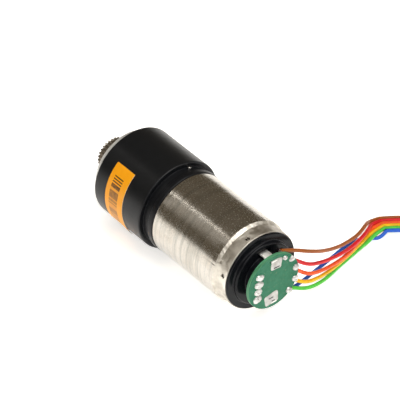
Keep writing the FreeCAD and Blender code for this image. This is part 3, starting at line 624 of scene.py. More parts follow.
# Centre lines of the wires, in millimetres, from the board to the ribbon.
WIRE_ROUTES = {
    "brown": [
     (-54.2, -3.4, 6.5), (-54.4, -7.2, 4.9), (-55.0, -11.9, 2.3), (-54.1, -16.8, -0.7),
     (-52.7, -22.3, -3.4), (-51.0, -27.5, -5.3), (-49.2, -32.3, -6.7), (-46.4, -37.0, -7.8),
     (-44.5, -39.8, -9.6), (-44.5, -42.8, -10.3)],
    "red": [
     (-54.2, -5.4, 3.4), (-54.3, -8.0, 1.2), (-55.1, -11.2, -1.3), (-54.4, -15.4, -3.4),
     (-53.2, -20.9, -5.5), (-51.8, -26.9, -6.9), (-50.0, -32.6, -7.4), (-47.4, -37.1, -8.6),
     (-45.5, -39.5, -9.6), (-45.4, -42.5, -10.3)],
    "orange": [
     (-54.2, -6.1, 0.3), (-54.3, -8.3, -1.9), (-55.3, -11.0, -4.0), (-54.6, -15.2, -5.9),
     (-53.4, -20.6, -7.4), (-51.9, -26.2, -8.4), (-49.6, -32.2, -8.3), (-47.2, -36.6, -9.6),
     (-46.5, -39.2, -10.1), (-46.4, -42.2, -10.3)],
    "yellow": [
     (-54.2, -5.7, -2.9), (-54.4, -7.7, -4.6), (-55.3, -10.2, -6.1), (-54.8, -14.0, -7.5),
     (-53.4, -19.3, -8.8), (-51.4, -25.7, -9.7), (-49.9, -31.9, -9.3), (-48.0, -36.0, -10.4),
     (-47.5, -38.9, -10.2), (-47.3, -41.8, -10.3)],
    "green": [
     (-54.2, -4.0, -5.2), (-54.5, -6.6, -6.3), (-55.6, -9.9, -7.7), (-55.3, -13.6, -8.8),
     (-54.1, -18.2, -9.7), (-52.2, -22.9, -10.4), (-51.0, -27.3, -10.7), (-50.3, -31.6, -10.2),
     (-49.1, -35.8, -10.7), (-48.3, -38.7, -10.3), (-48.2, -41.5, -10.3)],
    "blue": [
     (-54.2, -2.2, -6.9), (-53.6, -6.2, -7.8), (-53.3, -10.9, -7.6), (-52.6, -15.9, -7.1),
     (-51.7, -20.8, -7.0), (-50.4, -25.4, -7.4), (-48.8, -29.8, -8.4), (-46.6, -34.4, -11.2),
     (-47.8, -37.3, -11.5), (-49.5, -39.2, -11.4), (-49.2, -41.2, -10.3)],
}

# Centre line of the ribbon, from where the wires join it to the socket.
RIBBON_ROUTE = [
    (-46.8, -42.0, -10.3), (-48.0, -45.4, -11.0), (-50.8, -49.8, -11.5), (-55.4, -54.0, -11.5),
    (-61.8, -57.0, -11.5), (-69.4, -58.0, -11.5), (-77.2, -56.6, -11.5), (-84.2, -52.6, -11.5),
    (-89.8, -46.6, -11.5), (-94.8, -39.8, -11.5), (-98.6, -32.2, -11.5), (-101.0, -23.8, -11.5),
    (-102.4, -15.0, -11.5), (-103.0, -6.2, -11.4), (-103.2, 2.0, -10.9), (-103.4, 9.2, -10.6)]
CONDUCTOR_STEPS = 8  # steps over the top of each conductor
GROOVE_TURN = 0.08 * pi  # how far up a conductor's side its neighbour joins it


def spline_curve(name, route, diameter=0.0):
    """A smooth curve object with the route's points as its control points."""
    data = bpy.data.curves.new(name, "CURVE")
    data.dimensions = "3D"
    data.resolution_u = 16
    spline = data.splines.new("NURBS")
    spline.points.add(len(route) - 1)
    for point, spot in zip(spline.points, route):
        point.co = (*[c * MM for c in spot], 1)
    spline.order_u = 3
    spline.use_endpoint_u = True
    data.bevel_depth = diameter / 2 * MM
    data.bevel_resolution = 5
    data.use_fill_caps = True
    return bpy.data.objects.new(name, data)


def spline_points(route):
    """Points along the route's smooth curve, in millimetres."""
    curve = spline_curve("centre_line", route)
    show(curve)
    points = [v.co / MM for v in evaluated_mesh(curve).vertices]
    bpy.data.objects.remove(curve)
    return points


def make_wires():
    """The six single wires, from the board to the ribbon."""
    for colour, route in WIRE_ROUTES.items():
        wire = spline_curve("wire_" + colour, route, WIRE_DIAMETER)
        adopt(wire, "wire_" + colour)


def ribbon_section():
    """Six round conductors side by side, as (across, up, colour index) points of a closed outline."""
    upper = []
    for i in range(len(COLOURS)):
        middle = (len(COLOURS) - 1) / 2 - i
        for k in range(CONDUCTOR_STEPS + 1):
            turn = GROOVE_TURN + (pi - 2 * GROOVE_TURN) * k / CONDUCTOR_STEPS
            reach = cos(turn) / cos(GROOVE_TURN) / 2
            upper.append(((middle + reach) * RIBBON_PITCH, RIBBON_THICKNESS / 2 * sin(turn), i))
    return upper + [(across, -up, i) for across, up, i in reversed(upper)]


def make_ribbon():
    """The six-way ribbon: one web of six coloured, rounded conductors."""
    line = spline_points(RIBBON_ROUTE)
    section = ribbon_section()
    count = len(section)
    points = []
    for i, centre in enumerate(line):
        heading = line[min(i + 1, len(line) - 1)] - line[max(i - 1, 0)]
        across = Vector((-heading.y, heading.x, 0)).normalized()
        up = heading.normalized().cross(across)
        up = up if up.z > 0 else -up
        points += [centre + across * a + up * b for a, b, _ in section]
    faces = bands(len(line), count)
    for start in (0, (len(line) - 1) * count):
        for k in range(count // 2 - 1):
            faces.append((start + k, start + k + 1, start + count - 2 - k, start + count - 1 - k))
    shades = [1 + section[face[0] % count][2] for face in faces]
    ribbon = new_object("ribbon_cable", (points, faces), shades)
    return adopt(ribbon, "ribbon_cable", ["insulation_" + colour for colour in COLOURS]), line


# The socket's own frame has X along the ribbon, Z up and the ribbon's end at its origin.
SOCKET_LENGTH = 6.0
SOCKET_SIDE = 4.1  # half its width
SOCKET_TOP = 4.6
RIBBON_HALF = RIBBON_THICKNESS / 2
CONTACT_PITCH = 2.0
CONTACT_HALF = 0.3  # half a contact's width
BLADES = (0.2, 0.35)  # span of a contact's blade from the middle of its way
BLADE_Z = (1.3, 4.1)
CONTACT_FOOT_Z = (1.05, 1.6)
WAY_HALF = 0.42  # half the width of a contact's way, and of its flared mouth
MOUTH_HALF = 0.63
MOUTH_DEPTH = 0.35
WAY_FLOOR = 1.1
WINDOW = ((2.2, 3.8), 0.35, (1.35, 3.2))  # in each side: X span, depth and Z span
KEYWAY = ((-0.3, 0.35), (-1.1, 1.1), (2.4, 4.9))
CLAMP_Z = (-RIBBON_HALF - 0.9, -RIBBON_HALF)
CLAMP_INSET = 0.4  # from each end of the socket
ARM_INSET = 1.6
ARM_THICKNESS = 0.6
ARM_TOP = 2.4
TOOTH = ((2.35, 3.65), 0.3, (1.75, 2.3))  # on each arm: X span, reach and Z span
CUT_OVER = 0.2  # how far a cutter stands out of the face it cuts


def socket_matrix():
    """From the socket's own frame to the object's."""
    end, before = Vector(RIBBON_ROUTE[-1]), Vector(RIBBON_ROUTE[-2])
    heading = atan2(end.y - before.y, end.x - before.x)
    return Matrix.Translation(end) @ Matrix.Rotation(heading, 4, "Z")


def socket_ways():
    """The middles of the six ways, in two rows of three."""
    for row in (-0.5, 0.5):
        for column in (-1, 0, 1):
            yield SOCKET_LENGTH / 2 + row * CONTACT_PITCH, column * CONTACT_PITCH


def way_cutter(x, y):
    """A square pit with a flared mouth, for cutting a contact's way."""
    rings = [
        (MOUTH_HALF, SOCKET_TOP + CUT_OVER), (MOUTH_HALF, SOCKET_TOP),
        (WAY_HALF, SOCKET_TOP - MOUTH_DEPTH), (WAY_HALF, WAY_FLOOR)]
    corners = ((-1, -1), (1, -1), (1, 1), (-1, 1))
    points = [(x + sx * half, y + sy * half, z) for half, z in rings for sx, sy in corners]
    return points, [(0, 1, 2, 3), (15, 14, 13, 12), *bands(4, 4)]


def make_socket():
    """The socket's body with its ways, the clamp round the ribbon, and the contacts."""
    where = socket_matrix()
    sides = (-SOCKET_SIDE, SOCKET_SIDE)
    block = soft_box((0, SOCKET_LENGTH), sides, (RIBBON_HALF, SOCKET_TOP), 0.18)
    body = add_piece("socket_body", moved(block, where))
    cuts = [way_cutter(x, y) for x, y in socket_ways()]
    cuts += [soft_box(WINDOW[0], about(side, WINDOW[1]), WINDOW[2], 0.1) for side in sides]
    cuts.append(soft_box(*KEYWAY, 0.1))
    carve(body, [moved(cut, where) for cut in cuts])
    bars = [soft_box((CLAMP_INSET, SOCKET_LENGTH - CLAMP_INSET), sides, CLAMP_Z, 0.15)]
    for side in sides:
        arm_y = (side, side + copysign(ARM_THICKNESS, side))
        bars.append(soft_box((ARM_INSET, SOCKET_LENGTH - ARM_INSET), arm_y, (CLAMP_Z[0], ARM_TOP), 0.14))
        bars.append(soft_box(TOOTH[0], about(side, TOOTH[1]), TOOTH[2], 0.1))
    clamp = add_piece("socket_clamp", moved(joined(bars), where))
    forks = []
    for x, y in socket_ways():
        for lean in (-1, 1):
            blade_x = [x + lean * edge for edge in BLADES]
            forks.append(soft_box(blade_x, about(y, CONTACT_HALF), BLADE_Z, 0.05))
        forks.append(soft_box(about(x, BLADES[1]), about(y, CONTACT_HALF), CONTACT_FOOT_Z, 0.05))
    contacts = add_piece("socket_contacts", moved(joined(forks), where))
    return [body, clamp, contacts]


def make_cable():
    """The wires, the ribbon they join, and the socket at its end."""
    make_wires()
    ribbon, line = make_ribbon()
    pieces = make_socket()


# ---- gearbox

BORE_R = HOUSING_R - 0.8
LIP = (-3.1, 10.03)  # the housing's lip round the plate's boss: rear face and radius
RIPPLE = 0.007  # depth of the waviness left by turning
PLATE_BOSS_R = 10.0
PLATE_FLANGE_X = (-5.0, -3.12)
PLATE_HUB_R = 5.5
RECESS_R = (6.1, 6.6)
RECESS_DEPTH = 0.08
FRONT_SEAT = (-2.62, 4.51)  # each bearing's seat: its inner face and its radius
REAR_SEAT = (-3.6, 3.21)
WEB_R = 2.7  # hole in the web between them
BOLT_CIRCLE_R = 8.0
BOLT_HOLE_R = 0.8
BOLT_DEPTH = 3.0
COUNTERSINK = 0.25
THREAD_R = 0.98
THREAD_PITCH = 0.4
THREAD_INSET = 0.3  # plain stretch at each end of the thread


def make_housing():
    """The black sleeve: rounded rear edge, and faint waviness left by turning."""
    corners = [
        (HOUSING_REAR, BORE_R, 0.1), (HOUSING_REAR, HOUSING_R, 0.3), (HOUSING_FRONT, HOUSING_R, 0.65),
        (HOUSING_FRONT, LIP[1], 0.06), LIP, (LIP[0], BORE_R)]
    outline = filled_in(rounded(corners, steps=8), (HOUSING_REAR, HOUSING_FRONT), 0.9)

    def ripple(x, r, angle):
        depth = RIPPLE if r > HOUSING_R - 0.1 else 0.0
        return x, r - depth * (1 + 0.3 * noise.noise(Vector((x * 1.3, cos(angle), sin(angle)))))

    add_piece("gearbox_housing", lathe(outline, ripple))


def thread_cutter(y, z):
    """A tapped hole in the front plate, with a countersunk mouth."""
    mouth_r = BOLT_HOLE_R + COUNTERSINK
    outline = [(CUT_OVER, mouth_r), (0.0, mouth_r), (-COUNTERSINK, BOLT_HOLE_R)]
    for k in range(int((BOLT_DEPTH - 2 * THREAD_INSET) / THREAD_PITCH)):
        start = -THREAD_INSET - k * THREAD_PITCH
        outline += [(start, BOLT_HOLE_R), (start - THREAD_PITCH / 2, THREAD_R)]
    outline += [(THREAD_INSET - BOLT_DEPTH, BOLT_HOLE_R), (-BOLT_DEPTH, 0.0), (CUT_OVER, 0.0)]
    return moved(lathe(outline, turns=28), Matrix.Translation((0, y, z)))


def make_front_plate():
    """The steel mounting plate with its bearing seats, a turned recess and four tapped holes."""
    flange_r = PLATE[1].y
    rear = PLATE[0].x
    corners = [
        (0, FRONT_SEAT[1], 0.08), (0, RECESS_R[0], 0.05), (-RECESS_DEPTH, RECESS_R[0] + 0.1, 0.05),
        (-RECESS_DEPTH, RECESS_R[1] - 0.1, 0.05), (0, RECESS_R[1], 0.05), (0, PLATE_BOSS_R, 0.3),
        (PLATE_FLANGE_X[1], PLATE_BOSS_R), (PLATE_FLANGE_X[1], flange_r), (PLATE_FLANGE_X[0], flange_r),
        (PLATE_FLANGE_X[0], PLATE_HUB_R), (rear, PLATE_HUB_R, 0.2), (rear, REAR_SEAT[1]), REAR_SEAT,
        (REAR_SEAT[0], WEB_R), (FRONT_SEAT[0], WEB_R), FRONT_SEAT]
    plate = add_piece("front_plate", lathe(rounded(corners)))
    reach = BOLT_CIRCLE_R * sqrt(0.5)
    carve(plate, [thread_cutter(y, z) for y in (-reach, reach) for z in (-reach, reach)])


LABEL_ANGLES = (-44.0, 49.5)
LABEL_GAP = 0.01
LABEL_THICKNESS = 0.08
LABEL_CORNER = 0.2
LABEL_LIFT = 0.32  # how far its lower rear corner has come away
LABEL_LIFT_SPAN = (0.28, 0.55)  # the share of its height and of its width that comes away
LABEL_CREASE = 0.004
LABEL_ROWS = 150
LABEL_COLUMNS = 22


def label_point(u, v, height):
    """A point on the label: u runs round from the lower end, v along X from the rear edge."""
    start, end = (radians(a) for a in LABEL_ANGLES)
    rear, front = LABEL[0].x, LABEL[1].x
    angle = start + (end - start) * u
    from_end = min(u, 1 - u) * (end - start) * HOUSING_R
    inset = 0.0
    if from_end < LABEL_CORNER:
        inset = LABEL_CORNER - sqrt(max(0.0, LABEL_CORNER ** 2 - (LABEL_CORNER - from_end) ** 2))
    x = rear + inset + (front - rear - 2 * inset) * v
    lift = LABEL_LIFT * smoothstep(LABEL_LIFT_SPAN[0], 0.0, u) * smoothstep(LABEL_LIFT_SPAN[1], 0.0, v)
    crease = LABEL_CREASE * (1 + noise.noise(Vector((x * 0.8, angle * 9, 3.0))))
    r = HOUSING_R + LABEL_GAP + lift + crease + height
    return Vector((x, r * cos(angle), r * sin(angle)))


def make_label():
    """The paper label, with rounded corners, small creases and one corner coming away."""
    rows, columns = LABEL_ROWS, LABEL_COLUMNS
    points = []
    for height in (0.0, LABEL_THICKNESS):
        for i in range(rows + 1):
            points += [label_point(i / rows, j / columns, height) for j in range(columns + 1)]
    width = columns + 1
    layer = (rows + 1) * width
    cells = [top + i * width + j for top in (0, layer) for i in range(rows) for j in range(columns)]
    faces = [(a, a + 1, a + width + 1, a + width) for a in cells]
    rim = list(range(columns))
    rim += [i * width + columns for i in range(rows)]
    rim += [rows * width + j for j in range(columns, 0, -1)]
    rim += [i * width for i in range(rows, 0, -1)]
    faces += [(a, b, b + layer, a + layer) for a, b in zip(rim, rim[1:] + rim[:1])]
    label = add_piece("label", (points, faces), ["paper_core"])
    for face in label.data.polygons[len(cells):]:
        face.material_index = 1


# ---- output pinion and shaft

PRESSURE_ANGLE = radians(20)
PINION_TEETH = 28
PINION_MODULE = 0.3
PINION_CHAMFER = 0.16
PINION_HOLE_CHAMFER = 0.15
TOOTH_THINNING = 0.06
ROOT_SHARES = (0.98, 0.85)  # ends of the rounded root, as shares of half a tooth's pitch
ROOT_RISE = 0.015
FLANK_STEPS = 7
FLANK_START = 0.06  # the flank starts this far above the root or the base circle
TIP_SHARE = 0.45  # share of the tip that stays flat
COLLAR_DEPTH = 0.35
SHAFT_R = 2.0
SHAFT_FLAT = 1.65  # height of the flat above the shaft's axis
SHAFT_FIT = 0.01
CIRCLIP_X = (0.2, 0.8)
CIRCLIP_R = 1.7
DRILLING = ((0.0, 0.55), (0.45, 0.2), (0.7, 0.0))  # in the nose: depth and radius


def involute(angle):
    """The involute function of a pressure angle."""
    return tan(angle) - angle


def tooth_outline(teeth, module):
    """(radius, angle) points round a spur gear, with rounded roots and softened tips."""
    pitch_r = teeth * module / 2
    base_r = pitch_r * cos(PRESSURE_ANGLE)
    tip_r = pitch_r + module
    root_r = pitch_r - 1.25 * module
    half_pitch = pi / teeth

    def half_angle(radius):
        pressure = acos(min(1.0, base_r / max(radius, base_r)))
        width = pi * module / 2 - TOOTH_THINNING
        return width / (2 * pitch_r) + involute(PRESSURE_ANGLE) - involute(pressure)

    flank = [(root_r, half_pitch * ROOT_SHARES[0]), (root_r + ROOT_RISE, half_pitch * ROOT_SHARES[1])]
    start_r = max(base_r, root_r) + FLANK_START
    for k in range(FLANK_STEPS + 1):
        r = start_r + (tip_r - start_r) * k / FLANK_STEPS
        flank.append((r, half_angle(r)))
    flank.append((tip_r, half_angle(tip_r) * TIP_SHARE))
    points = []
    for tooth in range(teeth):
        centre = 2 * half_pitch * tooth + pi / 2
        points += [(r, centre - a) for r, a in flank]
        points += [(r, centre + a) for r, a in reversed(flank)]
    return points


def polar_prism(outline, layers, hole):
    """A prism along X with a hole.  Each layer is (x, largest outer radius, growth of the hole)."""
    rings = [[(x, min(r, limit), a) for r, a in outline] for x, limit, _ in layers]
    rings += [[(x, hole(a) + growth, a) for _, a in outline] for x, _, growth in reversed(layers)]
    points = [(x, r * cos(a), r * sin(a)) for ring in rings for x, r, a in ring]
    return points, bands(len(rings), len(outline), loop=True)


def shaft_bore(angle):
    """Radius of the D-shaped hole that fits the shaft, at an angle from +Y towards +Z."""
    return min(SHAFT_R + SHAFT_FIT, (SHAFT_FLAT + SHAFT_FIT) / max(0.1, sin(angle)))


def make_pinion():
    """The output pinion: chamfered teeth, a D-shaped hole and a low collar behind."""
    tip_r = PINION_MODULE * (PINION_TEETH / 2 + 1)
    collar_r = tip_r - 2.25 * PINION_MODULE - 0.5
    hole_r = SHAFT_R + 0.05
    back, front = PINION[0].x, PINION[1].x
    end_layer = (tip_r - PINION_CHAMFER, PINION_HOLE_CHAMFER)
    layers = [
        (back, *end_layer), (back + PINION_CHAMFER, tip_r, 0.0),
        (front - PINION_CHAMFER, tip_r, 0.0), (front, *end_layer)]
    gear = polar_prism(tooth_outline(PINION_TEETH, PINION_MODULE), layers, shaft_bore)
    collar_x = (back - COLLAR_DEPTH, back + 0.02)
    collar = rounded([
        (collar_x[0], hole_r), (collar_x[0], collar_r, 0.1), (collar_x[1], collar_r), (collar_x[1], hole_r)])
    add_piece("output_pinion", joined([gear, lathe(collar, turns=120)]), body="output")


def make_output_shaft():
    """The shaft: circlip groove, flat, chamfered nose with a centre drilling."""
    rear, front = SHAFT[0].x, SHAFT[1].x
    groove = [
        (CIRCLIP_X[0], SHAFT_R, 0.03), (CIRCLIP_X[0], CIRCLIP_R),
        (CIRCLIP_X[1], CIRCLIP_R), (CIRCLIP_X[1], SHAFT_R, 0.03)]
    mouth, cone, point = ((front - depth, r) for depth, r in DRILLING)
    corners = [(rear, 0), (rear, SHAFT_R, 0.2), *groove, (front, SHAFT_R, 0.3), (*mouth, 0.05), cone, point]
    outline = filled_in(rounded(corners), (CIRCLIP_X[1], front), 0.5)

    def flatten(x, r, angle):
        if x > PINION[0].x and r * sin(angle) > SHAFT_FLAT:
            r = SHAFT_FLAT / sin(angle)
        return x, r

    add_piece("output_shaft", lathe(outline, flatten, 240), body="output")


# ---- adapter and motor can

NECK_R = 10.7
BAND_R = 11.1
BAND_FRONT = -22.0
SPIGOT_R = HOUSING_R - 0.82
HOUSING_GAP = 0.05
ADAPTER_BORE_R = 2.0
MOTOR_RECESS = (-21.5, 3.05)  # for the motor's front boss: its floor and its radius
DOWEL_ANGLE = radians(106.0)
DOWEL_X = -20.45
# Along the dowel: distance from the main axis, radius, and corner radius.
DOWEL_PIT = [(8.9, 0), (8.9, 0.46), (10.55, 0.46), (10.8, 0.62), (13, 0.62), (13, 0)]
DOWEL = [(9.0, 0), (9.0, 0.45, 0.05), (11.1, 0.45, 0.16), (11.1, 0.14, 0.03), (11.02, 0.0)]


def make_adapter():
    """The black flange between gearbox and motor: a narrow neck, then a rounded band."""
    front, rear = ADAPTER[1].x, ADAPTER[0].x
    shoulder = HOUSING_REAR - HOUSING_GAP
    corners = [
        (front, ADAPTER_BORE_R), (front, SPIGOT_R, 0.15), (shoulder, SPIGOT_R), (shoulder, NECK_R, 0.1),
        (BAND_FRONT, NECK_R), (BAND_FRONT, BAND_R, 0.3), (rear, BAND_R, 0.3),
        (rear, MOTOR_RECESS[1]), MOTOR_RECESS, (MOTOR_RECESS[0], ADAPTER_BORE_R)]
    adapter = add_piece("adapter_flange", lathe(rounded(corners)))
    outward = Vector((0, cos(DOWEL_ANGLE), sin(DOWEL_ANGLE)))
    turn = outward.to_track_quat("X", "Z").to_matrix().to_4x4()
    where = Matrix.Translation((DOWEL_X, 0, 0)) @ turn
    carve(adapter, [moved(lathe(DOWEL_PIT, turns=32), where)])
    add_piece("flange_dowel", moved(lathe(rounded(DOWEL), turns=40), where))


CAN_BORE_R = 10.22
CRIMP_BORE_R = 9.9
TAPER = (-46.4, -47.2)
CRIMP_R = 10.5  # of the can behind its taper
CRIMP_X = -49.4
CRIMP_ANGLES = [radians(15 + 60 * k) for k in range(6)]
CRIMP_REACH = 1.1  # how far from its middle a crimp changes the surface
CRIMP_LIP = (0.04, 0.66, 0.13)  # height of the raised lip, its radius and its width
CRIMP_PIT = (0.56, 0.56, 0.42)  # depth of the pit, radius of its mouth and of its floor
CRIMP_PIP = (0.44, 0.2)  # height of the pip at the bottom, and its radius
CRIMP_SHADE_R = (0.2, 0.52)  # the ring of painted shade in the pit
DENT = 0.06


def crimp(x, r, angle):
    """Punched dimples with a raised lip and a pip at the bottom, and dents along the taper."""
    if r < CRIMP_R - 0.25 or x > TAPER[0] + 0.5:
        return x, r
    around = Vector((x * 0.9, 11 * cos(angle), 11 * sin(angle)))
    dent = noise.fractal(around * 0.9, 0.6, 2.0, 4)
    strength = smoothstep(TAPER[0] + 0.4, TAPER[0] - 0.2, x) * smoothstep(CRIMP_X + 0.9, TAPER[1], x)
    r += DENT * dent * (0.25 + strength)
    for centre in CRIMP_ANGLES:
        away = remainder(angle - centre, 2 * pi) * r
        apart = hypot(x - CRIMP_X, away)
        if apart < CRIMP_REACH:
            lip = CRIMP_LIP[0] * exp(-((apart - CRIMP_LIP[1]) / CRIMP_LIP[2]) ** 2)
            pit = CRIMP_PIT[0] * smoothstep(*CRIMP_PIT[1:], apart)
            pip = CRIMP_PIP[0] * exp(-(apart / CRIMP_PIP[1]) ** 2)
            return x, r + lip - pit + pip
    return x, r


def make_can():
    """The nickel-plated can: rolled front edge, the neck and its six crimps, with painted shade in their
    pits.
    """
    front, rear = CAN[1].x, CAN[0].x
    corners = [
        (front, CAN_BORE_R), (front, CAN_R, 0.3), (TAPER[0], CAN_R, 0.3), (TAPER[1], CRIMP_R, 0.3),
        (rear, CRIMP_R, 0.14), (rear, CRIMP_BORE_R), (TAPER[1], CRIMP_BORE_R), (TAPER[0], CAN_BORE_R)]
    outline = filled_in(rounded(corners), (rear, TAPER[0]), 0.12)
    outline = filled_in(outline, (TAPER[0], front), 2.5)
    can = add_piece("motor_can", lathe(outline, crimp, 660), ["crimp_dark", "crimp_nickel"])
    for face in can.data.polygons:
        x, y, z = face.center / MM
        if x < TAPER[0]:
            face.material_index = 2
        # Faces in a ring round each crimp's middle get the dark metal: painted shade in the pit.
        for centre in CRIMP_ANGLES:
            away = remainder(atan2(z, y) - centre, 2 * pi) * CRIMP_R
            apart = hypot(x - CRIMP_X, away)
            if hypot(y, z) > CRIMP_BORE_R + 0.01 and CRIMP_SHADE_R[0] < apart < CRIMP_SHADE_R[1]:
                face.material_index = 1


# ---- rear cap and terminals

CAP_FRONT = -47.9
CAP_FLOOR_X = (-51.9, -49.7)  # the end wall round the hole for the motor's shaft
CAP_HOLE_R = 1.3
CAP_INSIDE_R = 8.9
CAP_SKIRT_R = 9.88  # the part inside the can
RIM_REAR = -51.2
STEP_R = 8.4
STEP_REAR = -52.2
BOSS_R = 5.6
BOSS_RECESS_R = 4.2
NOTCH = (1.92, (5.45, 7.15))  # by each terminal: half width, and span out from the axis
GATE_AT = (-5.1, 4.7)
GATE_HALF = 0.45
TERMINAL_Z = (6.0, 6.4)
TERMINAL_HALF_WIDTH = 1.2
TIP_HALF_WIDTH = 0.85
WAIST_X = (-54.6, -54.4)  # where the wide part and the tip overlap
WING = ((-47.6, -46.8), (1.0, 1.9))


def terminal_cutter(x, gap):
    """A slot that clears a terminal by a gap."""
    height = (TERMINAL_Z[0] - gap, TERMINAL_Z[1] + gap)
    return soft_box(x, about(0, TERMINAL_HALF_WIDTH + gap), height, 0)


def make_cap():
    """The glossy moulded cap: rim, step, boss and the slots for the two terminals."""
    rim_front = CAN[0].x - 0.02
    rear = CAP[0].x
    corners = [
        (CAP_FLOOR_X[1], CAP_HOLE_R), (CAP_FLOOR_X[1], CAP_INSIDE_R), (CAP_FRONT, CAP_INSIDE_R),
        (CAP_FRONT, CAP_SKIRT_R), (rim_front, CAP_SKIRT_R), (rim_front, CAP_R, 0.15),
        (RIM_REAR, CAP_R, 0.35), (RIM_REAR, STEP_R, 0.4), (STEP_REAR, STEP_R, 0.45),
        (STEP_REAR, BOSS_R + 0.05, 0.25), (rear, BOSS_R, 0.12), (rear, BOSS_RECESS_R, 0.12),
        (CAP_FLOOR_X[0], BOSS_RECESS_R), (CAP_FLOOR_X[0], CAP_HOLE_R)]
    cap = add_piece("rear_cap", lathe(rounded(corners)))
    slot = terminal_cutter((-53, -49), 0.02)
    notch = soft_box((STEP_REAR - CUT_OVER, STEP_REAR + 0.55), about(0, NOTCH[0]), NOTCH[1], 0.15)
    gate_y, gate_z = (about(middle, GATE_HALF) for middle in GATE_AT)
    gate = soft_box(about(STEP_REAR, CUT_OVER), gate_y, gate_z, 0.15)
    carve(cap, [slot, notch, spun(slot, pi), spun(notch, pi), gate])


def make_terminals():
    """The two tabs, with rounded edges, a narrow tip behind and a wing inside the motor."""
    low, high = node_box("motor_terminals")
    tabs = []
    wide = soft_box((WAIST_X[0], high.x), about(0, TERMINAL_HALF_WIDTH), TERMINAL_Z, 0.08)
    tip = soft_box((low.x, WAIST_X[1]), about(0, TIP_HALF_WIDTH), TERMINAL_Z, 0.08)
    wing = soft_box(*WING, TERMINAL_Z, 0.06)
    for turn in (0, pi):
        tabs += [spun(shape, turn) for shape in (wide, tip, wing)]
    add_piece("motor_terminals", joined(tabs))


# ---- encoder board and its solder


def make_board():
    """The round board: resist on its faces, bare laminate on its cut edge and in its slots."""
    corners = [
        (BOARD_REAR, 0), (BOARD_REAR, BOARD_R, 0.04), (BOARD_FRONT, BOARD_R, 0.04), (BOARD_FRONT, 0)]
    outline = filled_in(rounded(corners), (BOARD_REAR, BOARD_FRONT), 0.35)
    board = add_piece("encoder_board", lathe(outline), ["board_edge"])
    slot = terminal_cutter((-57, -54), 0.1)
    carve(board, [slot, spun(slot, pi)])
    for face in board.data.polygons:
        face.material_index = 1 if abs(face.normal.x) < 0.5 else 0


# Solder on the rear face: (y, z, half width, half height, turn in degrees).
ROW_JOINTS = [
    (4.2, 3.3, 1.2, 0.88, 20), (4.5, 1.2, 1.3, 0.92, 8), (4.7, -0.8, 1.15, 0.85, -5),
    (4.9, -2.9, 1.25, 0.98, -14)]
EDGE_JOINTS = [
    (-3.3, 5.5, 0.7, 0.6, 40), (-5.5, 4.3, 1.0, 0.75, -35), (-6.7, 0.9, 0.95, 0.9, 0),
    (-6.6, -2.5, 1.0, 0.85, 20), (-4.8, -5.2, 1.05, 0.85, 45)]
TAB_PADS = [(-0.75, 4.95, 1.65, 1.5, 6), (0.6, -4.95, 2.0, 1.65, -8)]
SOLDER_HEIGHT = 0.6
PAD_HEIGHT = 0.22
PAD_MARGIN = 0.15  # how far outside its size a pad's solder may be
PAD_MARKS = [(-0.7, 4.1, 0.85), (0.9, -4.5, 0.7), (0.2, -5.6, 0.5)]  # painted shade of the terminal slots, as dark strips on the pads: (y, z, half width)
PAD_MARK_HEIGHT = (0.05, 0.27)  # span above the board
PAD_MARK_HALF = 0.14
WIRE_JOINT = (0.75, 0.6)  # half length and half width of the solder on a wire's end
WIRE_JOINT_HEIGHT = 0.85
WIRE_TAIL = 0.25  # how far the end of a wire goes on into its joint
LUMP_RINGS = 18
LUMP_SIDES = 56


def solder_lump(y, z, half_width, half_height, turn, height, seed, square=2.0):
    """A lump of solder on the rear face.  A higher square power gives it a squarer outline."""
    points = []
    lean = Matrix.Rotation(radians(turn), 2)
    for i in range(LUMP_RINGS + 1):
        share = i / LUMP_RINGS
        rise = height * (1 - share ** 2.6) ** 0.55
        for k in range(LUMP_SIDES):
            a = 2 * pi * k / LUMP_SIDES
            c, s = cos(a), sin(a)
            reach = (abs(c) ** square + abs(s) ** square) ** (-1 / square)
            wobble = 1 + 0.13 * noise.noise(Vector((c * 1.4, s * 1.4, seed * 7.1)))
            flat = Vector((c * half_width, s * half_height)) * (reach * share * wobble)
            bumpy = 1 + 0.35 * noise.noise(Vector((flat.x * 1.7, flat.y * 1.7, seed * 3.3)))
            at = Vector((y, z)) + lean @ flat
            at *= min(1.0, (BOARD_R - 0.03) / at.length)
            points.append((BOARD_REAR - (rise * bumpy if i < LUMP_RINGS else 0), at.x, at.y))
    base = tuple(LUMP_RINGS * LUMP_SIDES + k for k in range(LUMP_SIDES))
    return points, bands(LUMP_RINGS + 1, LUMP_SIDES) + [base]


def make_solder():
    """The joints on the rear face: a row of lumps, the wires' joints and the two tab pads, with black strips
    of painted shade for the terminal slots.
    """
    lumps = []
    for seed, joint in enumerate(ROW_JOINTS + EDGE_JOINTS):
        lumps.append(solder_lump(*joint, SOLDER_HEIGHT, seed + 1.0, 2.4))
    for seed, pad in enumerate(TAB_PADS):
        lumps.append(solder_lump(*pad, PAD_HEIGHT, seed + 20.0, 6.0))
    joints = add_piece("solder_joints", joined(lumps), ["pad_tin"])
    for face in joints.data.polygons:
        x, y, z = face.center / MM
        for pad_y, pad_z, half_width, half_height, _ in TAB_PADS:
            if abs(y - pad_y) < half_width + PAD_MARGIN and abs(z - pad_z) < half_height + PAD_MARGIN:
                face.material_index = 1
    # Black strips on the tab pads: painted shade standing in for the dark terminal slots.
    above = [BOARD_REAR - height for height in PAD_MARK_HEIGHT]
    marks = [soft_box(above, about(y, half), about(z, PAD_MARK_HALF), 0.06) for y, z, half in PAD_MARKS]
    add_piece("pad_flux", joined(marks), slot="chip_black")


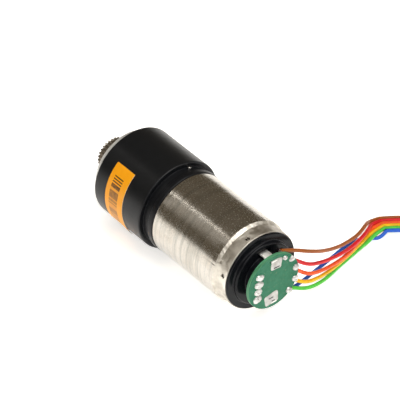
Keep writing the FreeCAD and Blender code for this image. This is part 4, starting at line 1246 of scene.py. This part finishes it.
def make_wire_joints():
    """The tinned wire ends and their solder on the hidden side of the board."""
    lumps = []
    mirror = Matrix.Translation((BOARD_FRONT + BOARD_REAR, 0, 0)) @ Matrix.Scale(-1, 4, X_AXIS)
    for seed, route in enumerate(WIRE_ROUTES.values()):
        start, after = Vector(route[0]), Vector(route[1])
        back = (start - after).normalized()
        tail = start + back * WIRE_TAIL
        turn = degrees(atan2(back.z, back.y))
        lump = solder_lump(tail.y, tail.z, *WIRE_JOINT, turn, WIRE_JOINT_HEIGHT, seed + 50.0)
        lumps.append(moved(lump, mirror))
    add_piece("wire_solder", joined(lumps), slot="solder")


def dress_carried_nodes():
    """Gives each CAD node that is still shown the material of its slot."""
    for name, node in frame["nodes"].items():
        if not node.hide_render:
            node.data.materials.clear()
            node.data.materials.append(MATERIALS[SLOTS[name]])


# ---- studio

FLOOR_HALF = 30.0  # in metres, like the sizes and places of the lights
LIGHTS_FACE = Vector((-0.03, -0.005, 0))  # near the middle of the motor
FLOOR_GLOW = ((1.0, 0.98, 0.95), 0.66)
SURROUND = ((0.135, 0.112, 0.08), (0.75, 0.74, 0.72))  # its dim and its pale colour
PALE_BEYOND = 0.95  # the surround is pale where it is this far along -X or +Y

# Direction, distance, size, radiance and colour.  The last one lies level with the motor's axis.
LIGHTS = {
    "overhead": ((-0.25, -0.12, 1.0), 0.62, (0.55, 0.55), 3.3, (1.0, 0.99, 0.97)),
    "camera_side": ((-0.62, 0.46, 0.66), 0.6, (0.3, 0.3), 3.0, (1, 1, 1)),
    "card": ((0.61, 0.52, 0.60), 0.5, (0.1, 0.24), 0.42, (1.0, 0.97, 0.92)),
    "rear_fill": ((-0.75, -0.75, 0.5), 0.8, (0.5, 0.5), 0.9, (1, 1, 1)),
    "sparkle": ((0.606, 0.304, 0.735), 0.6, (0.34, 0.012), 6.0, (1.0, 0.97, 0.93)),
}


def area_light(name, direction, distance, size, radiance, colour):
    """A soft rectangular light that faces the middle of the motor."""
    data = bpy.data.lights.new(name, "AREA")
    data.shape = "RECTANGLE"
    data.size, data.size_y = size
    data.energy = radiance * pi * size[0] * size[1]
    data.color = colour
    light = bpy.data.objects.new(name, data)
    toward = Vector(direction).normalized()
    light.location = LIGHTS_FACE + toward * distance
    light.rotation_mode = "QUATERNION"
    light.rotation_quaternion = (-toward).to_track_quat("-Z", "Y")
    if name == "sparkle":
        across = toward.cross(X_AXIS).normalized()
        axes = Matrix((across.cross(toward), across, toward)).transposed()
        light.rotation_quaternion = axes.to_quaternion()
    show(light)


def make_surround():
    """A dim surround that is pale behind and beside the motor."""
    world = bpy.data.worlds.new("studio")
    begin_nodes(world)
    x, y, _ = split_up(add_node("TexCoord").outputs["Generated"])
    behind = sums("LESS_THAN", x, -PALE_BEYOND)
    beside = sums("GREATER_THAN", y, PALE_BEYOND)
    surround = mixed(sums("MAXIMUM", behind, beside), *SURROUND)
    link(surround, TREE.nodes["Background"].inputs["Color"])
    bpy.context.scene.world = world
    bpy.context.scene.view_settings.view_transform = "Standard"


def make_stage():
    """A pale floor, the surround and the soft lights."""
    make_surround()
    far = FLOOR_HALF
    z = FLOOR_Z * MM
    mesh = bpy.data.meshes.new("floor")
    mesh.from_pydata([(-far, -far, z), (far, -far, z), (far, far, z), (-far, far, z)], [], [(0, 1, 2, 3)])
    floor = bpy.data.objects.new("floor", mesh)
    show(floor)
    new_material("floor_paper", (0.96, 0.96, 0.955), 0.9)
    grain = noise_of(0.05)
    set_input("Base Color", mixed(grain, (0.97, 0.97, 0.968), (0.95, 0.95, 0.945)))
    set_constant("Emission Color", (*FLOOR_GLOW[0], 1))
    set_constant("Emission Strength", FLOOR_GLOW[1])
    mesh.materials.append(MATERIALS["floor_paper"])
    for name, light in LIGHTS.items():
        area_light(name, *light)


make_camera()
make_materials()
make_cable()
make_stage()
make_housing()
make_front_plate()
make_label()
make_pinion()
make_output_shaft()
make_adapter()
make_can()
make_cap()
make_terminals()
make_board()
make_solder()
make_wire_joints()
dress_carried_nodes()
